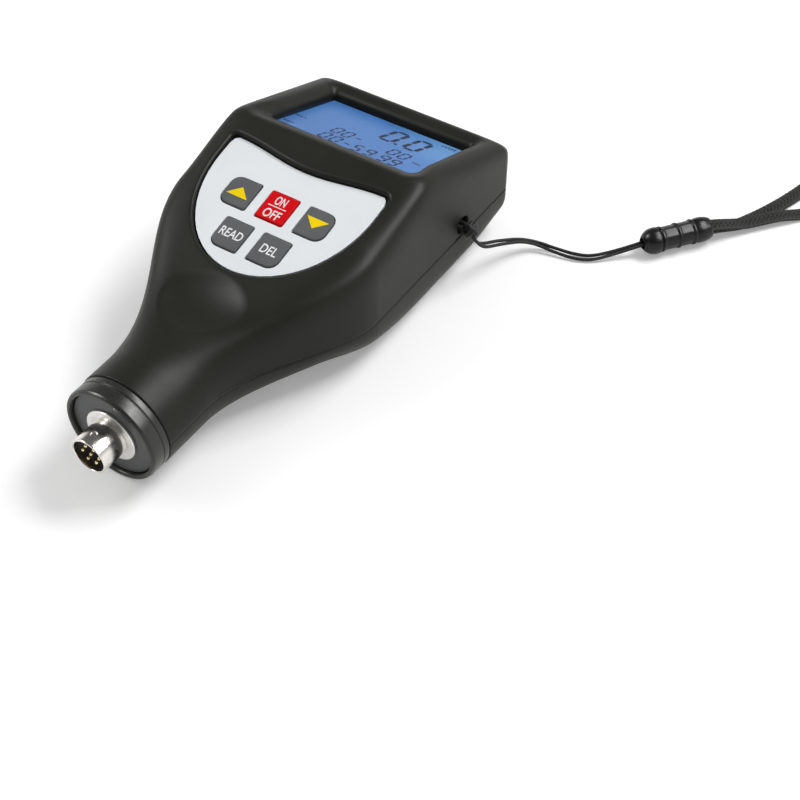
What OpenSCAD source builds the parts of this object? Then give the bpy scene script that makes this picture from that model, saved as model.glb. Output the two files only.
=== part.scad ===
// Handheld coating thickness gauge with a paddle shaped case, a sloping display head,
// a five key pad, a round probe socket in the neck and a wrist strap.
// X runs across the case, Y runs along it toward the display head, Z is up.

/* [Body] */
// Length from the probe socket to the head end
body_len = 165.2; // [162:0.2:169]
// Width across the display head
head_w = 73.2; // [72.4:0.2:74.4]
// Diameter of the neck
neck_d = 31.6; // [31.2:0.1:32.4]
// Thickness of the case wall
wall = 2; // [1.8:0.1:2.2]
// Plan radius of the head corners
head_corner = 5; // [4.5:0.5:6]
// Height by which the back rises under the head end
back_rise = 6; // [5:0.5:7]
// Depth of the thumb dish below the case top
dish_depth = 2; // [1.6:0.1:2.4]

/* [Display] */
// Width of the case on each side of the display lens
side_rim = 10.5; // [10:0.1:11]
// Length of the display lens along its slope
lens_l = 35.2; // [33.6:0.2:36]
// Thickness of the display lens
lens_t = 1.3; // [1:0.1:1.5]
// Fall of the display toward the head end
lens_tilt = 19.7; // [19:0.1:20.4]
// Height of the rim over the lens
rim_h = 3.5; // [3.2:0.1:3.8]
// Thickness of the liquid crystal glass
cell_glass_t = 2; // [1.6:0.1:2.2]
// Thickness of the backlight
backlight_t = 3; // [2.6:0.1:3.2]

/* [Keypad] */
// Width of one key
key_w = 9.7; // [9.3:0.1:10]
// Length of one key along the slope
key_l = 10.2; // [9.8:0.1:10.5]
// Space between keys
key_gap = 3.9; // [3.6:0.1:4.1]
// Rise of the keypad toward the head
key_tilt = 13.7; // [13.2:0.1:14.2]
// Travel of a pressed key
key_travel = 0.5; // [0.4:0.05:0.6]
// Height of a key over the label
key_rise = 0.5; // [0.3:0.05:0.7]
// Width of the label
label_w = 56; // [55:0.2:57]
// Thickness of the label
label_t = 0.8; // [0.6:0.1:1]
// Thickness of the circuit boards
board_t = 1.6; // [1.2:0.1:1.8]

/* [Probe socket] */
// Outside diameter of the socket shell
socket_d = 11.8; // [11.4:0.1:12.2]
// Diameter of the washer under the socket
washer_d = 17; // [16.4:0.1:17.6]
// Diameter of the end plate
plate_d = 27.6; // [27:0.1:28]
// Contact pins in the outer ring
pin_count = 6; // [5:1:7]
// Diameter of a contact pin
pin_d = 1; // [0.8:0.05:1.1]

/* [Battery bay] */
// Diameter of one cell
cell_d = 10.5; // [10.2:0.1:10.7]
// Length of one cell
cell_l = 44.5; // [44:0.1:45]
// Thickness of the battery door
door_t = 2.4; // [2.2:0.1:2.6]

/* [Strap] */
// Diameter of the strap cord
cord_d = 1.1; // [0.9:0.05:1.2]
// Largest diameter of the strap bead
bead_d = 8.7; // [8.4:0.1:9]
// Width of the wrist band
band_w = 5.4; // [5:0.1:5.8]

/* [Fits] */
// Gap round a key
key_fit = 0.35; // [0.3:0.05:0.4]
// Gap round the lens
lens_fit = 0.4; // [0.3:0.05:0.5]
// Gap round the battery door
door_fit = 0.35; // [0.3:0.05:0.4]
// Gap round parts that are set into the case
seat_fit = 0.15; // [0.1:0.05:0.2]

/* [Hidden] */
$fn = 32;
stretch = body_len / 165.2;
y_head = body_len / 2;
y_tip = -body_len / 2;
y_neck = y_tip + 15.6;
neck_r = neck_d / 2;
part_z = neck_r + 0.2;
black = [0.11, 0.11, 0.10];

// keypad plane: origin at the middle of the power key on the label face
key_y = 6.3 * stretch;
key_z = part_z + 25.2;
key_px = key_w + key_gap;
key_py = key_l + key_gap;
label_low = 24.6;
label_mid = 10;
label_top = 16.2;

// display plane: origin at the middle of the lens face
lens_y = 56.1 * stretch;
lens_z = part_z + 21.4;
lens_w = head_w - 2 * side_rim;
lens_seat = lens_t + 0.5;
deck_t = 1.3;
// the lens lies on the glass, and both stand in one window of the case
window_w = lens_w + 2 * lens_fit;
window_l = lens_l + 2 * lens_fit;
lcd_w = lens_w - 0.2;
lcd_l = lens_l - 0.2;
lcd_top = -lens_seat - 0.05;
lcd_low = lcd_top - cell_glass_t;
light_low = lcd_low - backlight_t;
lcd_board_low = light_low - board_t;

// keypad stack below the label face
deck_low = -label_t - 2;
flange_top = deck_low - 0.3;
flange_low = flange_top - 1.2;
switch_top = flange_low - key_travel - 0.3;
key_board_top = switch_top - 3.4;
key_board_low = key_board_top - board_t;

// middle of the thumb dish
dish_y = -31.5 * stretch;

// battery bay
pitch = cell_d + 0.6;
bay_w = 4 * pitch + 0.8;
spring_room = 5.2;
plate_room = 1.4;
bay_y0 = 6.5 * stretch;
bay_y1 = bay_y0 + cell_l + spring_room + plate_room;
cell_z = door_t + 0.6 + cell_d / 2;
bay_top = cell_z + cell_d / 2 + 0.6;
door_w = bay_w + 0.6;
door_y0 = bay_y0 - 2;
door_y1 = bay_y1 + 1.6;
tongue_w = 1.2;
tongue_z0 = door_t - 1.2;
tongue_z1 = door_t - 0.3;

// probe socket, along the neck axis
cap_front = y_tip + 8.7;
plate_front = y_tip + 10.1;
plate_back = plate_front + 1.2;
web_back = plate_back + 2;
washer_front = plate_front - 0.9;
socket_r = socket_d / 2;
tail_r = 5;
tail_back = web_back + 6;
insert_face = y_tip + 3;

// screws and posts
screw_r = 1.25;
screw_head_r = 2.4;
boss_r = 2.8;
bore_top = part_z - 6;
// place of each screw boss and its height over the parting plane
boss_spots = [
    [head_w / 2 - 4.9, 60 * stretch, 19],
    [-head_w / 2 + 4.9, 60 * stretch, 19],
    [half_w(-20 * stretch) - 7.3, -20 * stretch, 13.4],
    [7.3 - half_w(-20 * stretch), -20 * stretch, 13.4]];
key_posts = [[19.4, 8.8], [-19.4, 8.8], [17.5, -key_py], [-17.5, -key_py]];
lcd_post_y = lens_l / 2 + 4;
lcd_posts = [[20, lcd_post_y], [-20, lcd_post_y], [20, -lcd_post_y], [-20, -lcd_post_y]];

// strap anchor in the right side of the case
eye_x = head_w / 2;
eye_y = 51.8 * stretch;
eye_z = part_z + 3.6;
eye_r = 3;
post_x = eye_x - 3.2;
post_r = 0.8;
eye_deep = post_r + 1.1 * cord_d + 0.3;

// strap: the cord leaves the eye, drops to the ground and runs to the bead
bead_r = bead_d / 2;
bead_p = [80.6, 91.2, bead_r];
bead_dir = [0.605, 0.796, 0];
bead_len = 24.6;
band_reach = 118;
band_open = 30;
band_bend = 26;
cord_r = cord_d / 2;
cord_via = [
    [post_x + 0.1, eye_y, eye_z],
    [eye_x + 2.4, eye_y + 0.6, eye_z - 0.8],
    [eye_x + 4, eye_y + 1.2, 14.8],
    [41.8, 56, 11],
    [44, 64, 7.4],
    [47.2, 71, 4.6],
    [51.2, 74.8, 2.6],
    [57, 76.4, 1.4],
    [63.3, 77.7, 0.9],
    [68.7, 80.2, 0.9],
    [74.2, 85.2, 2],
    [bead_p[0] + 0.6, bead_p[1] + 0.8, bead_r]];

// small helpers
function clamp01(v) = max(0, min(1, v));
function ease(v) = let (t = clamp01(v)) t * t * (3 - 2 * t);
function soft_max(a, b, k) = (a + b + sqrt((a - b) * (a - b) + k * k)) / 2;
function soft_min(a, b, k) = (a + b - sqrt((a - b) * (a - b) + k * k)) / 2;
function span(a, b, n) = [for (i = [0:n - 1]) a + (b - a) * i / n];
function unit(v) = v / norm(v);
function signed_pow(v, p) = sign(v) * pow(abs(v), p);

// upper half of a superellipse from the right to the left
function arch(w, h, n, c) =
    [for (i = [0:c]) let (a = 180 * i / c)
        [w * signed_pow(cos(a), 2 / n), h * pow(max(0, sin(a)), 2 / n)]];

// closed skin over a row of rings with the same number of points
module skin(rings) {
    m = len(rings[0]);
    k = len(rings);
    polyhedron(
        points = [for (r = rings) each r],
        faces = concat(
            [[for (i = [m - 1:-1:0]) i]],
            [[for (i = [0:m - 1]) (k - 1) * m + i]],
            [for (j = [0:k - 2]) for (i = [0:m - 1])
                let (n = (i + 1) % m, a = j * m + i, b = j * m + n, c = a + m, d = b + m)
                each (i < m / 2 ? [[a, b, d], [a, d, c]] : [[a, b, c], [b, d, c]])]));
}

// rounded rectangle, clockwise from above, with one radius per corner:
// right top, right bottom, left bottom, left top
function rounded(w, l, r, steps = 5) =
    [for (q = [0:3]) for (i = [0:steps])
        let (a = 90 - 90 * q - 90 * i / steps,
             sx = q < 2 ? 1 : -1,
             sy = (q == 0 || q == 3) ? 1 : -1)
        [sx * (w / 2 - r[q]) + r[q] * cos(a), sy * (l / 2 - r[q]) + r[q] * sin(a)]];

// case outline along the length
function head_round(y, r) =
    r * (1 - sqrt(1 - 0.93 * pow(clamp01((y - y_head + r) / r), 2)));
function flare(y) = ease((y + 49.5 * stretch) / (55 * stretch));
function half_w(y) = neck_r + (head_w / 2 - neck_r) * flare(y) - head_round(y, head_corner);
function key_line(y) =
    key_z - 25.6 * sin(key_tilt) + 0.2
    + (y - key_y + 25.6 * cos(key_tilt)) * tan(key_tilt + 1.8);
function rim_line(y) = lens_z + rim_h / cos(lens_tilt) - (y - lens_y) * tan(lens_tilt);
function top_z(y) =
    soft_min(soft_max(part_z + neck_r, key_line(y), 3), rim_line(y), 1.6);
function top_h(y) = top_z(y) - part_z - head_round(y, 5);
function top_n(y) =
    2 + 7 * ease((y + 57 * stretch) / (52 * stretch)) + 4 * ease((y - 6 * stretch) / (26 * stretch));
function back_h(y) =
    neck_r + 1.1 * ease((y + 20 * stretch) / (30 * stretch))
    - back_rise * ease((y - 58 * stretch) / (30 * stretch)) - head_round(y, 4);
function back_n(y) =
    2 + 2.5 * ease((y + 15 * stretch) / (42 * stretch));

// stations along the case, closer where it bends
stations = concat(
    span(y_neck, -52 * stretch, 2),
    span(-52 * stretch, 10 * stretch, 15),
    span(10 * stretch, 25 * stretch, 2),
    span(25 * stretch, 40 * stretch, 6),
    span(40 * stretch, y_head - 6, 3),
    [for (i = [0:5]) y_head - 6 * (1 - sin(18 * i))]);
// stations and outline of the case moved inward by t
core_in = 0.6 * wall;
function inner_stations(t) = concat(
    [y_neck - 1],
    span(y_neck + 6, 10 * stretch, 9),
    span(10 * stretch, 44 * stretch, 5),
    span(44 * stretch, y_head - t - 6, 2),
    [for (i = [0:3]) y_head - t - 6 * (1 - sin(30 * i))]);
function inset_y(y, t) = y + t * ease((y - y_head + 14) / 10);

module front_outer() {
    skin([for (y = stations)
        [for (p = arch(half_w(y), top_h(y), top_n(y), 26)) [p[0], y, part_z + p[1]]]]);
}

module front_inner(t) {
    skin([for (y = inner_stations(t))
        let (s = inset_y(y, t), w = half_w(s) - t, h = top_h(s) - t)
        concat(
            [[w, y, part_z - 1]],
            [for (p = arch(w, h, top_n(s), 12)) [p[0], y, part_z + p[1]]],
            [[-w, y, part_z - 1]])]);
}

module rear_outer() {
    intersection() {
        skin([for (y = stations)
            let (ring = arch(half_w(y), back_h(y), back_n(y), 20))
            [for (i = [20:-1:0]) [ring[i][0], y, part_z - ring[i][1]]]]);
        translate([-100, -200, 0])
            cube([200, 400, 100]);
    }
}

module rear_inner(t) {
    skin([for (y = inner_stations(t))
        let (s = inset_y(y, t), w = half_w(s) - t, h = back_h(s) - t)
        let (ring = arch(w, h, back_n(s), 12))
        concat(
            [[-w, y, part_z + 1]],
            [for (i = [12:-1:0]) [ring[i][0], y, part_z - ring[i][1]]],
            [[w, y, part_z + 1]])]);
}

// frames of the two sloping faces and of the neck axis
module on_keypad() {
    translate([0, key_y, key_z])
        rotate([key_tilt, 0, 0])
            children();
}

module on_display() {
    translate([0, lens_y, lens_z])
        rotate([-lens_tilt, 0, 0])
            children();
}

// turns a profile with X as radius and Y along the case round the neck axis
module round_neck() {
    translate([0, 0, part_z])
        rotate([-90, 0, 0])
            rotate_extrude($fn = 64)
                children();
}

module slab(w, l, z0, z1) {
    translate([-w / 2, -l / 2, z0])
        cube([w, l, z1 - z0]);
}

module plate(points, z0, z1) {
    translate([0, 0, z0])
        linear_extrude(z1 - z0)
            polygon(points);
}

// shield outline of the label grown by g: an elliptic lower part and a wavy upper edge
function shield(g) =
    let (a = label_w / 2 + g, b = label_low + label_mid + g, e = a - 1.6)
    concat(
        [for (i = [0:28]) let (t = 180 * i / 28) [a * cos(t), label_mid - b * sin(t)]],
        [[-a, 14.6 + g], [-a + 0.5, 16.6 + g], [-e, 17.6 + g]],
        [for (i = [1:13]) let (x = -e + 2 * e * i / 14)
            [x, label_top + g - 1.4 * cos(180 * abs(x) / e)]],
        [[e, 17.6 + g], [a - 0.5, 16.6 + g], [a, 14.6 + g]]);

// keys: 0 up, 1 power, 2 down, 3 read, 4 delete
key_spots = [
    [-key_px, 0], [0, 0], [key_px, 0],
    [-key_px / 2, -key_py], [key_px / 2, -key_py]];
key_round = [
    [0.5, 0.5, 3, 3], [0.5, 0.5, 0.5, 0.5], [3, 3, 0.5, 0.5],
    [0.5, 0.5, 3, 0.5], [0.5, 3, 0.5, 0.5]];

module key_outline(k, g) {
    translate(key_spots[k])
        polygon(rounded(key_w + 2 * g, key_l + 2 * g, [for (r = key_round[k]) r + g]));
}

module key(k, tint) {
    color(tint)
        on_keypad() {
            translate([0, 0, flange_top])
                linear_extrude(key_rise - flange_top)
                    key_outline(k, 0);
            translate([0, 0, flange_low])
                linear_extrude(flange_top - flange_low)
                    key_outline(k, 1);
        }
}

// rounded mouth over the lens: steep at the lens, rolling over at the rim
module display_mouth() {
    steps = [for (i = [0:7]) let (t = i / 7) [rim_h * 1.02 * sin(90 * t), 6.4 * (1 - cos(90 * t))]];
    rows = concat([[0, 0]], [for (i = [1:7]) steps[i]], [[rim_h + 6, 6.6]]);
    skin([for (s = rows)
        let (g = lens_fit + s[1], r = 1.2 + 0.7 * s[1])
        [for (p = rounded(lens_w + 2 * g, lens_l + 2 * g, [r, r, r, r], 6)) [p[0], p[1], s[0]]]]);
}

module boss(spot, r, z0, z1) {
    side = sign(spot[0]);
    hull() {
        translate([spot[0], spot[1], z0])
            cylinder(r = r, h = z1 - z0, $fn = 20);
        translate([spot[0] + side * 5.5 - 1, spot[1] - 0.8, z0])
            cube([2, 1.6, z1 - z0]);
    }
}

module board_post(spot, z0, z1) {
    hull() {
        translate([spot[0], spot[1], z0])
            cylinder(r = 2, h = 0.5, $fn = 16);
        translate([spot[0], spot[1], z1 - 0.5])
            cylinder(r = 2.4, h = 0.5, $fn = 16);
    }
}

module front_shell() {
    color(black)
        difference() {
            union() {
                difference() {
                    front_outer();
                    front_inner(wall);
                }
                intersection() {
                    front_inner(core_in);
                    translate([-100, -200, part_z])
                        cube([200, 400, 100]);
                    union() {
                        for (s = boss_spots)
                            boss(s, boss_r, part_z, part_z + s[2]);
                        on_display()
                            slab(lens_w + 9, lens_l + 15, -lens_seat - deck_t, rim_h - 1.5);
                        on_keypad()
                            plate(shield(3), deck_low, 8);
                        on_keypad()
                            for (s = key_posts)
                                board_post(s, key_board_top, deck_low + 0.5);
                        on_display()
                            for (s = lcd_posts)
                                board_post(s, light_low, -lens_seat - deck_t + 0.5);
                        translate([0, dish_y, part_z + neck_r - 5])
                            cylinder(r = 12.6, h = 20);
                        translate([post_x - eye_deep - 1.4, eye_y, eye_z])
                            rotate([0, 90, 0])
                                cylinder(r = eye_r + 1.6, h = 12, $fn = 24);
                    }
                }
            }
            on_display()
                display_mouth();
            on_display()
                slab(window_w, window_l, -lens_seat - 6, 1);
            on_keypad()
                plate(shield(0.5), -label_t, 10);
            on_keypad()
                for (k = [0:4])
                    translate([0, 0, -6])
                        linear_extrude(10)
                            key_outline(k, key_fit);
            translate([0, dish_y, top_z(dish_y) - dish_depth])
                rotate([7, 0, 0])
                    translate([0, 0, 22])
                        scale([1.5, 1.05, 1])
                            sphere(r = 22, $fn = 84);
            translate([post_x - eye_deep, eye_y, eye_z])
                rotate([0, 90, 0])
                    cylinder(r = eye_r, h = 12);
            translate([post_x, eye_y, part_z - 1])
                cylinder(r = post_r + 0.05, h = eye_z - part_z + eye_r + 2);
            for (s = boss_spots)
                translate([s[0], s[1], part_z - 1])
                    cylinder(r = screw_r + 0.05, h = 11, $fn = 24);
            on_keypad()
                for (s = key_posts)
                    translate([s[0], s[1], key_board_top - 1])
                        cylinder(r = 0.85, h = 5, $fn = 16);
            on_display()
                for (s = lcd_posts)
                    translate([s[0], s[1], light_low - 1])
                        cylinder(r = 0.85, h = 5, $fn = 16);
        }
}

module rear_shell() {
    rail_x = door_w / 2 + tongue_w + 2;
    color(black)
        difference() {
            union() {
                difference() {
                    rear_outer();
                    rear_inner(wall);
                }
                intersection() {
                    rear_inner(core_in);
                    translate([-100, -200, part_z - 100])
                        cube([200, 400, 100]);
                    union() {
                        for (s = boss_spots)
                            boss(s, 4, 0, part_z);
                        translate([-bay_w / 2 - 1.5, bay_y0 - 1.5, 0])
                            cube([bay_w + 3, bay_y1 - bay_y0 + 3, bay_top + 1.4]);
                        translate([-rail_x, door_y0 - 2, 0])
                            cube([2 * rail_x, y_head, door_t + 1.8]);
                    }
                }
            }
            // four rounded cell bays open to the door
            for (i = [-1.5:1:1.5])
                hull() {
                    translate([i * pitch, bay_y0, cell_z])
                        rotate([-90, 0, 0])
                            cylinder(r = bay_top - cell_z, h = bay_y1 - bay_y0, $fn = 24);
                    translate([i * pitch - pitch / 2 - 0.1, bay_y0, -1])
                        cube([pitch + 0.2, bay_y1 - bay_y0, 2]);
                }
            // door opening, its tongue grooves and the slide out ramp
            translate([-door_w / 2 - door_fit, door_y0 - door_fit, -1])
                cube([door_w + 2 * door_fit, 80, 1 + door_t + door_fit]);
            translate([-door_w / 2 - tongue_w - door_fit, door_y0 - door_fit, tongue_z0 - door_fit])
                cube([door_w + 2 * tongue_w + 2 * door_fit, 80, tongue_z1 - tongue_z0 + 2 * door_fit]);
            for (s = boss_spots) {
                translate([s[0], s[1], -1])
                    cylinder(r = screw_head_r + 0.3, h = bore_top + 1, $fn = 24);
                translate([s[0], s[1], -1])
                    cylinder(r = screw_r + 0.3, h = part_z + 2, $fn = 24);
            }
        }
}

module battery_door() {
    color(black)
        difference() {
            union() {
                translate([-door_w / 2, door_y0, 0])
                    cube([door_w, door_y1 - door_y0, door_t]);
                translate([-door_w / 2 - tongue_w, door_y0, tongue_z0])
                    cube([door_w + 2 * tongue_w, door_y1 - door_y0, tongue_z1 - tongue_z0]);
            }
            for (i = [0:4])
                translate([-9, door_y1 - 6 - 2.2 * i, -0.1])
                    cube([18, 1.1, 0.6]);
        }
}

module end_cap() {
    r = neck_r - 0.2;
    color([0.05, 0.05, 0.05])
        round_neck()
            polygon(concat(
                [[tail_r + 0.4, plate_back], [plate_d / 2 + seat_fit, plate_back]],
                [[plate_d / 2 + seat_fit, cap_front + 0.5], [plate_d / 2 + seat_fit + 0.3, cap_front]],
                [for (i = [0:5]) let (a = 18 * i)
                    [r - 1.2 + 1.2 * sin(a), cap_front + 1.6 - 1.6 * cos(a)]],
                [[r, y_neck - 0.1], [neck_r - wall - seat_fit, y_neck - 0.1]],
                [[neck_r - wall - seat_fit, y_neck + 4.5], [neck_r - wall - 2, y_neck + 4.5]],
                [[neck_r - wall - 2, web_back], [tail_r + 0.4, web_back]]));
}

module end_plate() {
    color([0.30, 0.31, 0.31])
        round_neck()
            polygon([
                [tail_r + 0.2, plate_front], [plate_d / 2 - 0.4, plate_front],
                [plate_d / 2, plate_front + 0.4], [plate_d / 2, plate_back],
                [tail_r + 0.2, plate_back]]);
}

module socket_washer() {
    color([0.78, 0.77, 0.74])
        round_neck()
            polygon([
                [tail_r + 0.1, washer_front], [washer_d / 2 - 0.4, washer_front],
                [washer_d / 2, washer_front + 0.4], [washer_d / 2, plate_front],
                [tail_r + 0.1, plate_front]]);
}

module socket_shell() {
    bore = socket_r - 0.7;
    color([0.80, 0.80, 0.80])
        difference() {
            round_neck()
                polygon([
                    [bore, y_tip + 0.3], [bore + 0.3, y_tip], [socket_r - 0.3, y_tip],
                    [socket_r, y_tip + 0.3], [socket_r, washer_front],
                    [tail_r, washer_front], [tail_r, tail_back], [tail_r - 1, tail_back],
                    [tail_r - 1, washer_front], [bore, washer_front]]);
            translate([0, y_tip + 3.6, part_z + socket_r - 0.4])
                cylinder(r = 0.9, h = 2, $fn = 24);
        }
}

module socket_insert() {
    bore = socket_r - 0.7;
    color([0.06, 0.06, 0.06])
        difference() {
            round_neck()
                polygon([
                    [0, insert_face], [bore - 0.05, insert_face],
                    [bore - 0.05, washer_front - 0.05], [tail_r - 1.05, washer_front - 0.05],
                    [tail_r - 1.05, tail_back], [0, tail_back]]);
            at_pins()
                cylinder(r = pin_d / 2 + 0.02, h = 40, center = true, $fn = 20);
        }
}

module at_pins() {
    translate([0, insert_face, part_z])
        rotate([-90, 0, 0])
            children();
    for (i = [0:pin_count - 1])
        translate([2.9 * cos(i * 300 / (pin_count - 1) - 60), insert_face,
                   part_z + 2.9 * sin(i * 300 / (pin_count - 1) - 60)])
            rotate([-90, 0, 0])
                children();
}

module socket_pins() {
    color([0.83, 0.70, 0.40])
        at_pins()
            translate([0, 0, -2.2])
                cylinder(r = pin_d / 2, h = tail_back - insert_face + 5.2, $fn = 20);
}

module socket_nut() {
    color([0.70, 0.70, 0.68])
        translate([0, web_back, part_z])
            rotate([-90, 0, 0])
                difference() {
                    cylinder(r = 7.6, h = 2.6, $fn = 6);
                    translate([0, 0, -1])
                        cylinder(r = tail_r + 0.1, h = 5);
                }
}

module display_lens() {
    color([0.75, 0.82, 0.9, 0.4])
        on_display()
            slab(lens_w, lens_l, -lens_seat, -lens_seat + lens_t);
}

module lcd_glass() {
    color([0.30, 0.48, 0.78])
        on_display()
            slab(lcd_w, lcd_l, lcd_low, lcd_top);
}

module lcd_backlight() {
    color([0.75, 0.85, 0.95])
        on_display()
            slab(lcd_w - 0.6, lcd_l - 5.6, light_low, lcd_low);
}

module lcd_frame() {
    color([0.85, 0.85, 0.82])
        on_display()
            difference() {
                slab(lens_w + 2.6, lens_l + 2.6, light_low, -lens_seat - deck_t - 0.2);
                slab(lcd_w + 0.4, lcd_l + 0.4, light_low - 1, lcd_top + 1);
            }
}

module lcd_contacts() {
    color([0.35, 0.30, 0.35])
        on_display()
            for (s = [-1, 1])
                translate([0, s * (lcd_l / 2 - 1.3), 0])
                    slab(lcd_w - 2, 1.8, light_low, lcd_low);
}

module display_board() {
    color([0.10, 0.35, 0.18])
        on_display()
            difference() {
                slab(lens_w + 3, 2 * lcd_post_y + 5, lcd_board_low, light_low);
                for (s = lcd_posts)
                    translate([s[0], s[1], lcd_board_low - 1])
                        cylinder(r = 1.15, h = board_t + 2, $fn = 24);
            }
}

module display_chips() {
    color([0.08, 0.08, 0.08])
        on_display() {
            translate([-8, 2, 0])
                slab(14, 14, lcd_board_low - 1.6, lcd_board_low);
            translate([10, 4, 0])
                slab(10, 6, lcd_board_low - 1.6, lcd_board_low);
            translate([10, -7, 0])
                slab(5, 4, lcd_board_low - 1.4, lcd_board_low);
        }
}

module key_board() {
    color([0.10, 0.35, 0.18])
        on_keypad()
            difference() {
                translate([0, (11.6 - key_py - key_l / 2 - 2) / 2, 0])
                    slab(44.4, 11.6 + key_py + key_l / 2 + 2, key_board_low, key_board_top);
                for (s = key_posts)
                    translate([s[0], s[1], key_board_low - 1])
                        cylinder(r = 1.15, h = board_t + 2, $fn = 24);
            }
}

module key_switches() {
    color([0.20, 0.20, 0.22])
        on_keypad()
            for (s = key_spots)
                translate([s[0], s[1], 0]) {
                    slab(6, 6, key_board_top, switch_top - 0.8);
                    translate([0, 0, switch_top - 0.8])
                        cylinder(r = 1.7, h = 0.8, $fn = 24);
                }
}

// flat cable from the key board to the display board
module board_ribbon() {
    a = [key_y + 10 * cos(key_tilt) - key_board_low * sin(key_tilt),
         key_z + 10 * sin(key_tilt) + key_board_low * cos(key_tilt)];
    b = [lens_y - (lcd_post_y + 1) * cos(lens_tilt) + lcd_board_low * sin(lens_tilt),
         lens_z + (lcd_post_y + 1) * sin(lens_tilt) + lcd_board_low * cos(lens_tilt)];
    rows = [for (i = [0:10])
        let (t = i / 10)
        [a[0] + (b[0] - a[0]) * t, a[1] + (b[1] - a[1]) * t - 0.9 - 5 * sin(180 * t)]];
    color([0.85, 0.62, 0.20])
        translate([-7, 0, 0])
            rotate([90, 0, 90])
                linear_extrude(14)
                    polygon(concat(
                        [for (p = rows) p],
                        [for (i = [10:-1:0]) rows[i] + [0, 0.35]]));
}

module keypad_label() {
    color([0.86, 0.89, 0.93])
        on_keypad()
            translate([0, 0, -label_t])
                linear_extrude(label_t)
                    difference() {
                        polygon(shield(0));
                        for (k = [0:4])
                            key_outline(k, key_fit);
                    }
}

module key_up() {
    key(0, [0.24, 0.25, 0.26]);
}

module key_power() {
    key(1, [0.84, 0.05, 0.10]);
}

module key_down() {
    key(2, [0.24, 0.25, 0.26]);
}

module key_read() {
    key(3, [0.24, 0.25, 0.26]);
}

module key_delete() {
    key(4, [0.24, 0.25, 0.26]);
}

module case_screws() {
    color([0.30, 0.30, 0.31])
        for (s = boss_spots)
            translate([s[0], s[1], bore_top - 2]) {
                cylinder(r = screw_head_r, h = 2, $fn = 32);
                translate([0, 0, 2])
                    cylinder(r = screw_r, h = part_z - bore_top + 8, $fn = 24);
            }
}

module screw_row(spots, low) {
    for (s = spots)
        translate([s[0], s[1], low - 1.2]) {
            cylinder(r = 1.7, h = 1.2, $fn = 24);
            translate([0, 0, 1.2])
                cylinder(r = 0.8, h = board_t + 3.4, $fn = 16);
        }
}

module board_screws() {
    color([0.72, 0.72, 0.72]) {
        on_keypad()
            screw_row(key_posts, key_board_low);
        on_display()
            screw_row(lcd_posts, lcd_board_low);
    }
}

// cells lie side by side, every second one turned round
module cell(i) {
    turned = i % 2;
    x = (i - 1.5) * pitch;
    y = bay_y0 + (turned ? plate_room : spring_room);
    color([0.75, 0.60, 0.25])
        translate([x, turned ? y : y + cell_l, cell_z])
            rotate([turned ? -90 : 90, 0, 0])
                rotate_extrude()
                    polygon([
                        [0, 0], [1.9, 0], [1.9, 0.9], [cell_d / 2 - 0.5, 0.9],
                        [cell_d / 2, 1.4], [cell_d / 2, cell_l], [0, cell_l]]);
}

module battery_1() {
    cell(0);
}

module battery_2() {
    cell(1);
}

module battery_3() {
    cell(2);
}

module battery_4() {
    cell(3);
}

// cone shaped contact springs as stepped rings, held short of the cell
module battery_springs() {
    color([0.80, 0.80, 0.80])
        for (i = [0:3]) {
            turned = i % 2;
            y = turned ? bay_y1 - 0.5 : bay_y0 + 0.5;
            translate([(i - 1.5) * pitch, y, cell_z])
                rotate([turned ? 90 : -90, 0, 0])
                    rotate_extrude()
                        polygon([
                            [3.3, 0], [4, 0], [3.6, 1.5], [3.1, 3], [2.6, spring_room - 0.6],
                            [1.9, spring_room - 0.6], [2.4, 3], [2.9, 1.5]]);
        }
}

module battery_plates() {
    color([0.80, 0.80, 0.80])
        for (i = [0:3])
            for (e = [0, 1])
                translate([(i - 1.5) * pitch - 4.2, e ? bay_y1 - 0.5 : bay_y0, cell_z - 4])
                    cube([8.4, 0.5, 8]);
}

module strap_post() {
    color([0.70, 0.70, 0.70])
        translate([post_x, eye_y, part_z + 0.3])
            cylinder(r = post_r, h = eye_z - part_z + eye_r + 0.6, $fn = 24);
}

// point on a smooth curve through a list of points
function between(p, i, t) =
    let (a = p[max(0, i - 1)], b = p[i], c = p[min(len(p) - 1, i + 1)], d = p[min(len(p) - 1, i + 2)])
    0.5 * (2 * b + (c - a) * t + (2 * a - 5 * b + 4 * c - d) * t * t
           + (3 * b - a - 3 * c + d) * t * t * t);
function smooth_row(p, steps) =
    concat(
        [for (i = [0:len(p) - 2]) for (k = [0:steps - 1]) between(p, i, k / steps)],
        [p[len(p) - 1]]);

// sideways and upward directions of a row at one point
function ahead(row, i) = unit(row[min(len(row) - 1, i + 1)] - row[max(0, i - 1)]);
function sideways(row, i) = let (d = ahead(row, i)) unit([d[1], -d[0], 0]);

// tube of an oval section along a row
module tube(row, rx, rz, sides) {
    skin([for (i = [0:len(row) - 1])
        let (s = sideways(row, i), u = cross(s, ahead(row, i)))
        [for (k = [0:sides - 1]) let (a = 360 * k / sides)
            row[i] + s * rx * cos(a) + u * rz * sin(a)]]);
}

module strap_cord() {
    middle = smooth_row(cord_via, 2);
    count = len(middle) - 1;
    reach = post_r + cord_r + 0.06;
    part = [for (i = [0:count])
        0.64 + 0.4 * pow(sin(400 * i / count + 10), 2) * ease(i / 4 - 0.6)
        + (reach - 0.64) * (1 - ease(i / 2))];
    right = [for (i = [0:count]) middle[i] + sideways(middle, i) * part[i]];
    left = [for (i = [0:count]) middle[i] - sideways(middle, i) * part[i]];
    turn = [for (i = [1:5]) let (a = 90 + 30 * i)
        [post_x + reach * cos(a), eye_y + reach * sin(a), eye_z]];
    color([0.05, 0.05, 0.05])
        tube(concat([for (i = [count:-1:0]) left[i]], turn, right), cord_r, cord_r, 8);
}

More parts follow.
